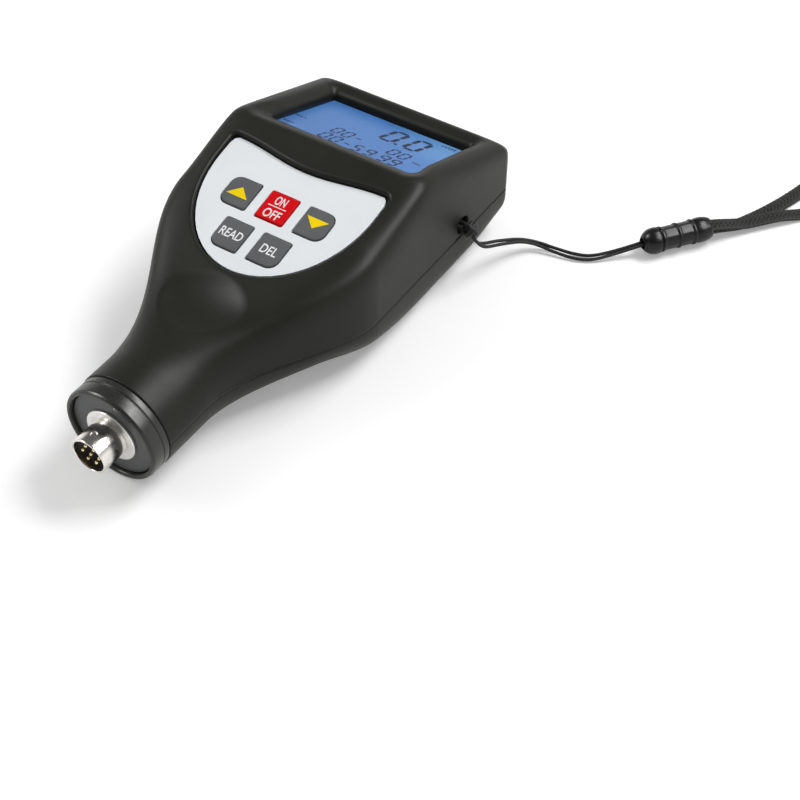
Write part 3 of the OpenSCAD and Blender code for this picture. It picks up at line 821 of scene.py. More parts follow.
@dataclass(frozen=True)
class CaseForm:
    """Outer form of the case, the same curves as in the CAD source."""

    head_y: float = 82.6
    neck_y: float = -67.0
    neck_r: float = 15.8
    part_z: float = 16.0
    head_half: float = 36.6
    corner: float = 5.0
    wall: float = 2.0
    rim: float = 3.5
    waist: tuple[float, float] = (-49.5, 55.0)
    deck_foot: float = 25.6
    deck_lift: float = 0.2
    deck_tilt: float = 1.8
    deck_blend: float = 3.0
    crest_blend: float = 1.6
    belly: Triple = (1.1, -20.0, 30.0)
    back_rise: Triple = (6.0, 58.0, 30.0)
    round_power: float = 2.0
    waist_power: Triple = (7.0, -57.0, 52.0)
    head_power: Triple = (4.0, 6.0, 26.0)
    belly_power: Triple = (2.5, -15.0, 42.0)

    @staticmethod
    def grown(y: np.ndarray, change: Triple) -> np.ndarray:
        """Change along the case: its amount, where it starts and how long it takes."""
        return change[0] * rise(y, *change[1:])

    def half_width(self, y: np.ndarray) -> np.ndarray:
        """Half width of the case."""
        return self.neck_r + (self.head_half - self.neck_r) * rise(y, *self.waist)

    def top_height(self, y: np.ndarray) -> np.ndarray:
        """Height of the top over the parting plane."""
        tilt, fall = math.radians(KEYPAD.degrees), math.radians(-DISPLAY.degrees)
        steep = math.tan(tilt + math.radians(self.deck_tilt))
        deck = (KEYPAD.z - self.deck_foot * math.sin(tilt) + self.deck_lift
                + (y - KEYPAD.y + self.deck_foot * math.cos(tilt)) * steep)
        hood = DISPLAY.z + self.rim / math.cos(fall) - (y - DISPLAY.y) * math.tan(fall)
        deck = soft_max(self.part_z + self.neck_r, deck, self.deck_blend)
        return soft_min(deck, hood, self.crest_blend) - self.part_z

    def top_power(self, y: np.ndarray) -> np.ndarray:
        """How square the upper section is."""
        return self.round_power + self.grown(y, self.waist_power) + self.grown(y, self.head_power)

    def back_height(self, y: np.ndarray) -> np.ndarray:
        """Depth of the back under the parting plane."""
        return self.neck_r + self.grown(y, self.belly) - self.grown(y, self.back_rise)

    def back_power(self, y: np.ndarray) -> np.ndarray:
        """How square the lower section is."""
        return self.round_power + self.grown(y, self.belly_power)

    def section(self, p: np.ndarray, height: np.ndarray, power: np.ndarray) -> np.ndarray:
        """Distance to the long body, rounded off at the head.

        Args:
            p: points in millimetres.
            height: height or depth of the section at each point.
            power: squareness of the section at each point.

        Returns:
            Signed distance, negative inside.
        """
        width = self.half_width(p[:, 1])
        u, v = np.abs(p[:, 0]) / width, np.abs(p[:, 2] - self.part_z) / height
        most = np.maximum(np.maximum(u, v), LEAST)
        k = most * ((u / most) ** power + (v / most) ** power) ** (1 / power)
        slope = np.hypot((u / k) ** (power - 1) / width, (v / k) ** (power - 1) / height)
        return round_and((k - 1) / slope, p[:, 1] - self.head_y, self.corner)

    def front(self, p: np.ndarray) -> np.ndarray:
        """Distance to the upper half before anything is cut."""
        return self.section(p, self.top_height(p[:, 1]), self.top_power(p[:, 1]))

    def back(self, p: np.ndarray) -> np.ndarray:
        """Distance to the lower half before anything is cut."""
        return self.section(p, self.back_height(p[:, 1]), self.back_power(p[:, 1]))


FORM = CaseForm()


@dataclass
class FrontShell:
    """Upper half of the case with display hood, label pocket, thumb dish and strap eye."""

    lens: tuple[float, float] = (53.0, 36.0)
    lens_corner: float = 1.3
    seat: float = 1.8
    deck: float = 1.3
    roll: float = 6.4
    roll_height: float = 3.57
    cut_depth: float = 8.0
    lip_slope: float = 0.34
    lip_flare: float = 1.2
    lip_fade: float = 0.5
    lip_fade_blend: float = 3.0
    lip_scale: float = 1.64
    lip_corner: float = 1.6
    label_half: float = 28.0
    label_drop: float = 34.6
    label_middle: float = 10.0
    label_top: float = 16.2
    label_wave: float = 1.4
    label_inset: float = 1.6
    label_corner: float = 1.8
    label_gap: float = 0.5
    label_depth: float = 0.8
    key: tuple[float, float] = (9.7, 10.2)
    key_gap: float = 3.9
    key_fit: float = 0.35
    key_corner: float = 0.8
    key_cut: tuple[float, float] = (-1.0, 5.0)
    dish_y: float = -31.5
    dish_depth: float = 2.0
    dish_tilt: float = 7.0
    dish_axes: Triple = (33.0, 23.1, 22.0)
    eye: Triple = (31.1, 51.8, 19.6)
    eye_r: float = 3.0
    frame_room: Triple = (61.2, 50.2, 1.0)
    label_backing: tuple[float, float] = (3.0, 2.8)
    dish_backing: tuple[float, float] = (12.6, 26.8)
    eye_backing: tuple[float, float] = (1.6, 1.4)
    posts: tuple[Triple, ...] = ((31.7, 60.0, 35.0), (20.0, -20.0, 29.4))
    post_r: float = 2.8
    rib: tuple[float, float] = (24.0, -20.0)
    rib_half: tuple[float, float] = (4.0, 0.8)
    rib_z: float = 29.4
    rims: tuple[float, ...] = (0.35, 1.6, 1.2, 0.4, 0.6)
    neck_rim: float = 0.4
    part_rim: float = 0.6
    room: tuple[Triple, Triple] = ((-37.4, -67.8, 15.4), (37.4, 83.4, 49.6))
    step: float = 0.5
    kept: float = 0.55

    def shield(self, u: np.ndarray, v: np.ndarray, grow: float) -> np.ndarray:
        """Distance to the label's outline.

        Args:
            u: place across the keypad.
            v: place up the keypad.
            grow: how far the outline is moved outward.

        Returns:
            Signed distance in the keypad's plane.
        """
        a, b = self.label_half + grow, self.label_drop + grow
        fall = np.minimum(v - self.label_middle, 0)
        k = np.maximum(np.hypot(u / a, fall / b), LEAST)
        bowl = (k - 1) * k / np.maximum(np.hypot(u / a**2, fall / b**2), LEAST)
        share = np.minimum(np.abs(u) / (a - self.label_inset), 1)
        wave = v - (self.label_top + grow - self.label_wave * np.cos(np.pi * share))
        return round_and(bowl, wave, self.label_corner)

    def rolled(self, out: np.ndarray, n: np.ndarray) -> np.ndarray:
        """Distance to an opening whose rim rolls outward.

        Args:
            out: distance to the opening's outline.
            n: height over the display.

        Returns:
            Signed distance, negative in the opening.
        """
        a = 1 - np.minimum(out, self.roll) / self.roll
        b = np.maximum(n, 0) / self.roll_height
        k = np.maximum(np.hypot(a, b), LEAST)
        roll = -(k - 1) * k / np.maximum(np.hypot(a / self.roll, b / self.roll_height), LEAST)
        return np.where(out > self.roll, self.roll_height - n, roll)

    def mouth(self, u: np.ndarray, v: np.ndarray, n: np.ndarray) -> np.ndarray:
        """Distance to the hollow over the lens."""
        window = plan_box(u, v, *self.lens, self.lens_corner)
        return np.maximum(self.rolled(window, n), -self.cut_depth - n)

    def lip(self, u: np.ndarray, v: np.ndarray, n: np.ndarray) -> np.ndarray:
        """Distance to the wedge over the near lip, which slopes down to the lens.

        Args:
            u: place across the display.
            v: place up the display.
            n: height over the display.

        Returns:
            Signed distance, negative in the wedge.
        """
        width, length = self.lens
        fade = self.lip_fade * soft_max(v + length / 2, 0 * v, self.lip_fade_blend)
        flare = self.lip_flare * np.maximum(n, 0)
        sides = (np.abs(u) - width / 2 - flare + fade) / self.lip_scale
        slope = (self.lip_slope * (-length / 2 - v) - n) / math.hypot(1, self.lip_slope)
        wedge = round_and(slope, sides, self.lip_corner)
        return np.maximum(np.maximum(wedge, v), -self.cut_depth - n)

    def key_holes(self, u: np.ndarray, v: np.ndarray, n: np.ndarray) -> np.ndarray:
        """Distance to the five openings for the keys."""
        px, py = self.key[0] + self.key_gap, self.key[1] + self.key_gap
        spots = [(-px, 0), (0, 0), (px, 0), (-px / 2, -py), (px / 2, -py)]
        w, l = (s + 2 * self.key_fit for s in self.key)
        holes = np.min([plan_box(u - x, v - y, w, l, self.key_corner) for x, y in spots], axis=0)
        middle, half = self.key_cut
        return np.maximum(holes, np.abs(n - middle) - half)

    def recesses(self, p: np.ndarray) -> list[np.ndarray]:
        """Distances to all that is open to the outside, in the order of the rims."""
        return [cut(p) for cut in (self._hood, self._lip, self._pocket, self._dish, self._eye)]

    def _hood(self, p: np.ndarray) -> np.ndarray:
        """Distance to the display opening."""
        return self.mouth(*DISPLAY.local(p))

    def _lip(self, p: np.ndarray) -> np.ndarray:
        """Distance to the wedge over the near lip."""
        return self.lip(*DISPLAY.local(p))

    def _pocket(self, p: np.ndarray) -> np.ndarray:
        """Distance to the label's pocket."""
        u, v, n = KEYPAD.local(p)
        return np.maximum(self.shield(u, v, self.label_gap), -self.label_depth - n)

    def _dish(self, p: np.ndarray) -> np.ndarray:
        """Distance to the thumb dish."""
        top = float(FORM.top_height(np.array(self.dish_y))) + FORM.part_z
        u, v, n = Tilted(self.dish_y, top - self.dish_depth, self.dish_tilt).local(p)
        a, b, c = self.dish_axes
        n = n - c
        k = np.maximum(np.sqrt((u / a) ** 2 + (v / b) ** 2 + (n / c) ** 2), LEAST)
        steep = np.sqrt((u / a**2) ** 2 + (v / b**2) ** 2 + (n / c**2) ** 2 + 1e-12)
        return (k - 1) * k / steep

    def _eye(self, p: np.ndarray) -> np.ndarray:
        """Distance to the strap eye."""
        x, y, z = self.eye
        return np.maximum(np.hypot(p[:, 1] - y, p[:, 2] - z) - self.eye_r, x - p[:, 0])

    def distance(self, p: np.ndarray) -> np.ndarray:
        """Signed distance to the shell.

        Args:
            p: points in millimetres.

        Returns:
            One distance for each point.
        """
        raw = FORM.front(p)
        ku, kv, kn = KEYPAD.local(p)
        solid = raw
        for cut, rim in zip(self.recesses(p), self.rims):
            solid = round_cut(solid, cut, rim)
        hollow = np.maximum(raw + FORM.wall, -self.backings(p))
        solid = np.maximum(solid, -np.minimum(hollow, self.key_holes(ku, kv, kn)))
        solid = round_and(solid, FORM.neck_y - p[:, 1], self.neck_rim)
        return round_and(solid, FORM.part_z - p[:, 2], self.part_rim)

    def backings(self, p: np.ndarray) -> np.ndarray:
        """Distance to all that stays solid behind the wall: backings, screw posts and ribs."""
        x, y, z = p.T
        du, dv, dn = DISPLAY.local(p)
        ku, kv, kn = KEYPAD.local(p)
        ex, ey, ez = self.eye
        (grow, label_z), (dish_r, dish_z) = self.label_backing, self.dish_backing
        eye_wall, eye_back = self.eye_backing
        ribs = np.maximum(np.abs(np.abs(x) - self.rib[0]) - self.rib_half[0],
                          np.abs(y - self.rib[1]) - self.rib_half[1])
        return np.min([
            np.maximum(plan_box(du, dv, *self.frame_room), -self.seat - self.deck - dn),
            np.maximum(self.shield(ku, kv, grow), -label_z - kn),
            np.maximum(np.hypot(x, y - self.dish_y) - dish_r, dish_z - z),
            np.maximum(np.hypot(y - ey, z - ez) - self.eye_r - eye_wall, ex - eye_back - x),
            *[np.maximum(np.hypot(np.abs(x) - px, y - py) - self.post_r, z - top)
              for px, py, top in self.posts],
            np.maximum(ribs, z - self.rib_z),
        ], axis=0)

    def hidden(self, p: np.ndarray) -> np.ndarray:
        """Which points no one sees."""
        return (FORM.front(p) < -INNER) & (np.min(self.recesses(p), axis=0) > OPEN_MARGIN)

    def build(self) -> Object:
        """Nets the shell and thins what no one sees.

        Returns:
            The finished piece.
        """
        net = NetMesh(self.distance, *self.room, self.step)
        return finish_net("gauge_front_shell", net, self.hidden, self.kept)


def finish_net(name: str, net: NetMesh, hidden: Optional[Distance] = None, kept: float = 1.0) -> Object:
    """Object of a netted solid with normals from its distance function.

    Args:
        name: name of the piece.
        net: the netted solid.
        hidden: tells which points may be thinned out.
        kept: share of triangles kept where points are thinned.

    Returns:
        The object.
    """
    points, quads = net.build()
    obj = new_object(name, points, quads)
    if hidden is not None:
        group = obj.vertex_groups.new(name="hidden")
        group.add(np.flatnonzero(hidden(points)).tolist(), 1.0, "REPLACE")
        thin = obj.modifiers.new("thin", "DECIMATE")
        thin.ratio, thin.vertex_group, thin.vertex_group_factor = kept, "hidden", 10
        bake(obj)
        obj.vertex_groups.clear()
    mesh = obj.data
    mesh.polygons.foreach_set("use_smooth", [True] * len(mesh.polygons))
    normals = unit(slopes(net.distance, coordinates(mesh) / MM))
    mesh.normals_split_custom_set_from_vertices(normals.tolist())
    return obj


@dataclass
class RearShell:
    """Lower half of the case with the battery bay and the door's rails."""

    bay: Triple = (45.2, 6.5, 57.6)
    bay_wall: float = 1.5
    bay_roof: float = 15.5
    cells: tuple[float, ...] = (-1.5, -0.5, 0.5, 1.5)
    cell_z: float = 8.25
    cell_drop: float = 3.2
    bay_r: float = 5.85
    pitch: float = 11.1
    door: Triple = (45.8, 4.5, 2.4)
    door_fit: float = 0.35
    door_room: tuple[float, float] = (100.0, -3.0)
    tongue: Triple = (1.2, 1.2, 2.1)
    rails: tuple[Triple, Triple] = ((-26.1, 2.5, 0.0), (26.1, 90.0, 4.2))
    bosses: tuple[tuple[float, float], ...] = ((31.7, 60.0), (20.0, -20.0))
    boss_r: float = 4.0
    screw_head: tuple[float, float] = (2.7, 10.0)
    screw_r: float = 1.55
    back_rim: float = 0.9
    opening_rim: float = 0.3
    neck_rim: float = 0.4
    part_rim: float = 0.6
    room: tuple[Triple, Triple] = ((-37.4, -67.8, -0.7), (37.4, 83.4, 16.6))
    step: float = 0.6
    kept: float = 0.6

    def from_bosses(self, p: np.ndarray) -> list[np.ndarray]:
        """Distance of points from the axis of each pair of bosses."""
        return [np.hypot(np.abs(p[:, 0]) - x, p[:, 1] - y) for x, y in self.bosses]

    def openings(self, p: np.ndarray) -> np.ndarray:
        """Distance to the bay, the door's opening and the screw bores."""
        width, y0, y1 = self.bay
        door_w, door_y, door_t = self.door
        reach, low, high = self.tongue
        end, under = self.door_room
        g = self.door_fit
        bays = np.min([np.hypot(p[:, 0] - i * self.pitch, p[:, 2] - self.cell_z) - self.bay_r
                       for i in self.cells], axis=0)
        below = np.maximum(np.abs(p[:, 0]) - width / 2, p[:, 2] - self.cell_z + self.cell_drop)
        ends = np.abs(p[:, 1] - (y0 + y1) / 2) - (y1 - y0) / 2
        door = box(p, (-door_w / 2 - g, door_y - g, under), (door_w / 2 + g, end, door_t + g))
        groove = box(p, (-door_w / 2 - reach - g, door_y - g, low - g),
                     (door_w / 2 + reach + g, end, high + g))
        head_r, head_z = self.screw_head
        bores = [np.minimum(np.maximum(far - head_r, p[:, 2] - head_z), far - self.screw_r)
                 for far in self.from_bosses(p)]
        return np.min([np.maximum(np.minimum(bays, below), ends), door, groove, *bores], axis=0)

    def distance(self, p: np.ndarray) -> np.ndarray:
        """Signed distance to the shell.

        Args:
            p: points in millimetres.

        Returns:
            One distance for each point.
        """
        raw = FORM.back(p)
        width, y0, y1 = self.bay
        wall = self.bay_wall
        fill = np.min([
            box(p, (-width / 2 - wall, y0 - wall, 0), (width / 2 + wall, y1 + wall, self.bay_roof)),
            box(p, *self.rails),
            *[far - self.boss_r for far in self.from_bosses(p)],
        ], axis=0)
        solid = round_and(raw, -p[:, 2], self.back_rim)
        solid = round_cut(solid, self.openings(p), self.opening_rim)
        solid = np.maximum(solid, -np.maximum(raw + FORM.wall, -fill))
        solid = round_and(solid, FORM.neck_y - p[:, 1], self.neck_rim)
        return round_and(solid, p[:, 2] - FORM.part_z, self.part_rim)

    def hidden(self, p: np.ndarray) -> np.ndarray:
        """Which points the case hides."""
        return (FORM.back(p) < -INNER) & (self.openings(p) > OPEN_MARGIN)

    def build(self) -> Object:
        """Nets the shell and thins what the case hides.

        Returns:
            The finished piece.
        """
        net = NetMesh(self.distance, *self.room, self.step)
        return finish_net("gauge_rear_shell", net, self.hidden, self.kept)


@dataclass
class Case:
    """Both shells, the battery door and the screws."""

    front: FrontShell = field(default_factory=FrontShell)
    rear: RearShell = field(default_factory=RearShell)

    def build(self) -> None:
        """Builds and dresses the case."""
        DRESSER.piece(self.front.build(), CASE_BLACK, "case", Body.CASE, "front_shell")
        DRESSER.piece(self.rear.build(), CASE_BLACK, "case", Body.CASE, "rear_shell")
        DRESSER.piece(eased_copy("battery_door", "gauge_battery_door", 0.25), CASE_BLACK, "case",
                      Body.DOOR, "battery_door")
        DRESSER.paint(STEEL, "case_screws")


def eased_copy(node: str, name: str, width: float, segments: int = 3, flat: float = 1.0,
               sharp: float = 35.0) -> Object:
    """Copy of a CAD node with its edges rounded.

    Args:
        node: CAD node.
        name: name of the copy.
        width: width of the rounding in millimetres.
        segments: facets across the rounding.
        flat: faces that meet at less than this many degrees are joined first.
        sharp: edges of more than this many degrees are rounded.

    Returns:
        The copy.
    """
    mesh = frame["nodes"][node].data.copy()
    mesh.name = name
    work = bmesh.new()
    work.from_mesh(mesh)
    bmesh.ops.remove_doubles(work, verts=work.verts, dist=1e-6)
    bmesh.ops.dissolve_limit(work, angle_limit=math.radians(flat), verts=work.verts, edges=work.edges)
    limit = math.radians(sharp)
    corners = [e for e in work.edges if e.is_manifold and e.calc_face_angle() > limit]
    bmesh.ops.bevel(work, geom=corners, offset=width * MM, segments=segments, profile=0.5,
                    affect="EDGES", clamp_overlap=True)
    work.to_mesh(mesh)
    work.free()
    mesh.shade_smooth()
    made = linked(name, mesh)
    made.modifiers.new("flat", "WEIGHTED_NORMAL").keep_sharp = True
    return bake(made)


@dataclass
class NodeTool:
    """Geometry node tree that turns points or chains into one plain painted mesh.

    Attributes:
        name: name of the piece.
        finish: finish of the piece.
        inputs: type and value of each named input beside the geometry.
        nodes: type of each node by a short name.
        links: pairs of node and socket, from an output to an input.
    """

    name: str
    finish: Finish
    inputs: dict[str, tuple[str, object]]
    nodes: dict[str, str]
    links: Sequence[tuple[str, str]]

    def tree(self) -> bpy.types.NodeTree:
        """Writes the tree, which ends in real geometry and its material.

        Returns:
            The tree.
        """
        tree = bpy.data.node_groups.new(self.name + "_tree", "GeometryNodeTree")
        add = tree.interface.new_socket
        add("Start", in_out="INPUT", socket_type="NodeSocketGeometry")
        for name, (kind, _) in self.inputs.items():
            add(name, in_out="INPUT", socket_type=kind)
        add("End", in_out="OUTPUT", socket_type="NodeSocketGeometry")
        kinds = {"in": "NodeGroupInput", **self.nodes, "real": "GeometryNodeRealizeInstances",
                 "paint": "GeometryNodeSetMaterial", "out": "NodeGroupOutput"}
        made = {key: tree.nodes.new(kind) for key, kind in kinds.items()}
        made["paint"].inputs["Material"].default_value = self.finish.material()
        for ends in (*self.links, ("real.Geometry", "paint.Geometry"), ("paint.Geometry", "out.End")):
            (a, out), (b, into) = (end.split(".") for end in ends)
            tree.links.new(made[a].outputs[out], made[b].inputs[into])
        return tree

    def run(self, made: Object) -> Object:
        """Runs the tree on an object and keeps the result as its plain mesh.

        Args:
            made: object with the points or chains.

        Returns:
            The same object.
        """
        worker = made.modifiers.new("tool", "NODES")
        worker.node_group = self.tree()
        for item in worker.node_group.interface.items_tree:
            if item.name in self.inputs:
                worker[item.identifier] = self.inputs[item.name][1]
        return bake(made)


# neck end


@dataclass
class NeckEnd:
    """End cap, plate, washer and probe socket round the neck axis."""

    tip_y: float = -82.6
    axis_z: float = 16.0
    segments: int = 128
    ring: Triple = (5.2, 5.9, 9.2)
    tail: Triple = (4.0, 5.0, 14.2)
    tail_half: float = 5.1
    dimple: Triple = (3.6, 0.95, 5.45)
    socket_rims: Triple = (0.28, 0.1, 0.12)
    socket_step: float = 0.17
    pin_r: float = 0.5
    pin_ends: tuple[float, float] = (0.8, 24.2)
    pin_circle: float = 2.9
    pin_sides: int = 20

    def lathe(self, name: str, profile: Sequence[tuple[float, float]], radius: float) -> Object:
        """Turns a closed profile of radius and length round the neck axis, its corners eased.

        Args:
            name: name of the piece.
            profile: corners as radius and distance from the tip, anticlockwise.
            radius: radius of the eased corners.

        Returns:
            The object.
        """
        outline = eased_outline(np.array(profile, float), radius)
        turn = circle(self.segments)
        rings = np.stack([
            np.stack([r * np.cos(turn), np.full_like(turn, self.tip_y + t),
                      self.axis_z + r * np.sin(turn)], 1)
            for r, t in outline])
        return face_outward(new_object(name, *ring_skin(rings, closed=True)), sharp=40)

    def socket(self, p: np.ndarray) -> np.ndarray:
        """Distance to the socket shell with its locating dimple."""
        r = np.hypot(p[:, 0], p[:, 2] - self.axis_z)
        t = p[:, 1] - self.tip_y
        mouth_rim, back_rim, dimple_rim = self.socket_rims
        inner, outer, length = self.ring
        ring = round_and(np.maximum(r - outer, inner - r), -t, mouth_rim)
        ring = round_and(ring, t - length, back_rim)
        inner, outer, middle = self.tail
        tail = np.maximum(np.maximum(r - outer, inner - r), np.abs(t - middle) - self.tail_half)
        place, radius, depth = self.dimple
        dimple = np.maximum(np.hypot(p[:, 0], t - place) - radius, self.axis_z + depth - p[:, 2])
        return round_cut(np.minimum(ring, tail), dimple, dimple_rim)

    def build(self) -> None:
        """Builds and dresses the neck end."""
        cap = [(5.4, 11.3), (13.95, 11.3), (13.95, 9.2), (14.3, 8.7), (15.2, 8.75), (15.58, 9.5),
               (15.6, 13.0), (15.35, 13.15), (15.35, 13.4), (15.6, 13.55), (15.6, 15.5), (13.65, 15.5),
               (13.65, 20.1), (11.8, 20.1), (11.8, 13.3), (5.4, 13.3)]
        plate = [(5.2, 10.1), (13.75, 10.1), (13.8, 11.3), (5.2, 11.3)]
        washer = [(5.1, 9.2), (8.5, 9.2), (8.5, 10.1), (5.1, 10.1)]
        for name, profile, radius, finish, slot, node in (
                ("gauge_end_cap", cap, 0.22, CAP_BLACK, "cap", "end_cap"),
                ("gauge_end_plate", plate, 0.25, PLATE_GREY, "end_plate", "end_plate"),
                ("gauge_washer", washer, 0.3, WASHER_SILVER, "washer", "socket_washer")):
            DRESSER.piece(self.lathe(name, profile, radius), finish, slot, Body.CASE, node)
        net = NetMesh(self.socket, (-6.2, self.tip_y - 0.3, 9.8), (6.2, self.tip_y + 19.6, 22.2),
                      self.socket_step)
        DRESSER.piece(finish_net("gauge_socket", net), SOCKET_NICKEL, "socket", Body.CASE,
                      "socket_shell")
        DRESSER.paint(INSERT_BLACK, "socket_insert")
        DRESSER.paint(STEEL, "socket_nut")
        DRESSER.piece(self.pins(), PIN_GOLD, "pins", Body.CASE, "socket_pins")

    def pins(self) -> Object:
        """Round nosed contact pins, set on their circle by a node tree.

        Returns:
            All pins as one piece.
        """
        nose, end = self.pin_ends
        profile = [(self.pin_r * math.sin(a), nose + self.pin_r * (1 - math.cos(a)))
                   for a in np.linspace(0, math.pi / 2, 6)[1:]] + [(self.pin_r, end)]
        around = circle(self.pin_sides)
        rings = np.stack([np.stack([r * np.cos(around), np.full(self.pin_sides, t), r * np.sin(around)], 1)
                          for r, t in profile])
        pin = face_outward(new_object("pin_shape", *ring_skin(rings)))
        turns = [math.radians(60 * i - 60) for i in range(6)]
        spots = [(0, 0)] + [(self.pin_circle * math.cos(a), self.pin_circle * math.sin(a)) for a in turns]
        tool = NodeTool(
            "gauge_pins", PIN_GOLD,
            {"Shape": ("NodeSocketObject", pin), "Size": ("NodeSocketFloat", 1.0)},
            {"info": "GeometryNodeObjectInfo", "copies": "GeometryNodeInstanceOnPoints"},
            [("in.Start", "copies.Points"), ("in.Shape", "info.Object"),
             ("info.Geometry", "copies.Instance"), ("in.Size", "copies.Scale"),
             ("copies.Instances", "real.Geometry")])
        at = [(x, self.tip_y, self.axis_z + z) for x, z in spots]
        made = tool.run(new_object("gauge_pins", at, []))
        bpy.data.objects.remove(pin)
        return made


def eased_outline(corners: np.ndarray, radius: float, steps: int = 4) -> np.ndarray:
    """Closed outline with every corner rounded.

    Args:
        corners: corners in order.
        radius: largest radius; short sides get less.
        steps: facets on each corner.

    Returns:
        Points of the outline.
    """
    out = []
    for i, b in enumerate(corners):
        a, c = corners[i - 1], corners[(i + 1) % len(corners)]
        to_a, to_c = a - b, c - b
        la, lc = np.linalg.norm(to_a), np.linalg.norm(to_c)
        cut = min(radius, 0.45 * la, 0.45 * lc)
        start, end = b + to_a / la * cut, b + to_c / lc * cut
        for t in np.linspace(0, 1, steps + 1):
            out.append((1 - t) ** 2 * start + 2 * t * (1 - t) * b + t**2 * end)
    return np.array(out)


# display


@dataclass
class Display:
    """Lens, backlit glass and its segments."""

    glass_top: float = -1.85
    lift: float = 0.02
    slant: float = 0.08
    shift: tuple[float, float] = (-0.9, 1.9)

    word_thick: float = 0.02

    SEGMENTS = {"0": "abcdef", "5": "afgcd", "9": "abcdfg", "-": "g"}
    LARGE = (4.4, 10.5, 1.45, 0.0)
    SMALL = (2.4, 5.2, 0.72, 1.6)
    LOWER = (2.4, 5.3, 0.72, 1.65)
    NUMBERS = (("0", 2.3, 0.3, LARGE), ("0", 11.1, 0.3, LARGE), ("00-", -10.1, -9.4, SMALL),
               ("00", 10.6, -9.0, SMALL), ("00-5", -10.2, -16.5, LOWER), ("9", 6.3, -16.2, SMALL),
               ("99", 11.5, -16.2, SMALL))
    POINT = (8.0, -0.4, 1.15, 1.15)
    WORDS = (("MAX", (4.4, 1.3), -22.4, -7.2), ("MIN", (3.9, 1.3), -22.4, -14.4),
             ("mil", (4.8, 1.7), 20.8, 13.3), ("No", (2.9, 1.6), 21.6, -8.2))

    def bar(self, a: tuple[float, float], b: tuple[float, float], t: float) -> list[tuple[float, float]]:
        """Outline of one segment from a to b with pointed ends, t thick."""
        dx, dy = b[0] - a[0], b[1] - a[1]
        size = math.hypot(dx, dy)
        dx, dy = dx / size, dy / size
        h, gap = t / 2, t * 0.14
        ends = [(a[0] + dx * gap, a[1] + dy * gap), (b[0] - dx * gap, b[1] - dy * gap)]
        (ax, ay), (bx, by) = ends
        return [(ax, ay), (ax + dx * h + dy * h, ay + dy * h - dx * h),
                (bx - dx * h + dy * h, by - dy * h - dx * h), (bx, by),
                (bx - dx * h - dy * h, by - dy * h + dx * h), (ax + dx * h - dy * h, ay + dy * h + dx * h)]

    def digit(self, mark: str, u: float, v: float, w: float, h: float, t: float) -> list:
        """Outlines of one digit whose lower left corner is at u, v.

        Args:
            mark: the digit.
            u: place across the glass.
            v: place up the glass.
            w: width of the digit.
            h: height of the digit.
            t: thickness of a segment.

        Returns:
            Outlines of its segments.
        """
        ends = {"a": ((0, h), (w, h)), "b": ((w, h), (w, h / 2)), "c": ((w, h / 2), (w, 0)),
                "d": ((0, 0), (w, 0)), "e": ((0, h / 2), (0, 0)), "f": ((0, h), (0, h / 2)),
                "g": ((0, h / 2), (w, h / 2))}
        outlines = []
        for name in self.SEGMENTS[mark]:
            flat = self.bar(*ends[name], t)
            outlines.append([(u + x + self.slant * y, v + y) for x, y in flat])
        return outlines

    def number(self, text: str, u: float, v: float, style: Sequence[float]) -> list:
        """Outlines of a row of digits.

        Args:
            text: the digits.
            u: place of the first digit across the glass.
            v: place of its foot up the glass.
            style: width, height, thickness and gap of the digits.

        Returns:
            Outlines of all segments.
        """
        w, h, t, gap = style
        return [outline for i, mark in enumerate(text)
                for outline in self.digit(mark, u + i * (w + gap), v, w, h, t)]

    def segments(self) -> Object:
        """All dark segments as thin plates on the glass.

        Returns:
            The segments as one piece.
        """
        u, v, w, h = self.POINT
        outlines = [[(u, v), (u + w, v), (u + w, v + h), (u, v + h)]]
        for entry in self.NUMBERS:
            outlines += self.number(*entry)
        outlines = [[(u + self.shift[0], v + self.shift[1]) for u, v in outline] for outline in outlines]
        points, faces = [], []
        for outline in outlines:
            base, count = len(points), len(outline)
            for n in (self.glass_top, self.glass_top + self.lift):
                points += [DISPLAY.place(u, v, n) for u, v in outline]
            faces.append([base + count + i for i in range(count)])
            faces.append([base + i for i in range(count - 1, -1, -1)])
            faces += [[base + i, base + (i + 1) % count, base + count + (i + 1) % count, base + count + i]
                      for i in range(count)]
        return face_outward(new_object("gauge_lcd_segments", points, faces, smooth=False))

    def words(self) -> list[Object]:
        """Small dark words at the edges of the glass.

        Returns:
            One piece for each word.
        """
        made = []
        for i, (text, size, u, v) in enumerate(self.WORDS):
            obj = flat_word(f"gauge_lcd_word_{i + 1}", text, size, self.word_thick)
            at = (u + self.shift[0], v + self.shift[1], self.glass_top + self.lift)
            obj.data.transform(DISPLAY.matrix() @ Matrix.Translation([k * MM for k in at]))
            made.append(obj)
        return made

    def build(self) -> None:
        """Builds and dresses the display."""
        for obj in self.words():
            DRESSER.piece(obj, SEGMENT_NAVY, "lcd", Body.CASE)
        DRESSER.paint(LENS_CLEAR, "display_lens")
        DRESSER.piece(self.segments(), SEGMENT_NAVY, "lcd", Body.CASE)
        DRESSER.paint(LCD_BLUE, "lcd_glass")
        DRESSER.paint(LIGHT_GUIDE, "lcd_backlight")
        DRESSER.paint(FRAME_PALE, "lcd_frame")
        DRESSER.paint(CONTACT_RUBBER, "lcd_contacts")


# keypad


class Legend(Enum):
    """What is printed on a key."""

    RISE = "triangle up"
    POWER = "on over off"
    FALL = "triangle down"
    READ = "READ"
    DELETE = "DEL"


@dataclass(frozen=True)
class Key:
    """One key: its node, place, corner radii, body and print."""

    node: str
    u: float
    v: float
    corners: tuple[float, float, float, float]
    body: Body
    legend: Legend
    finish: Finish
    slot: str


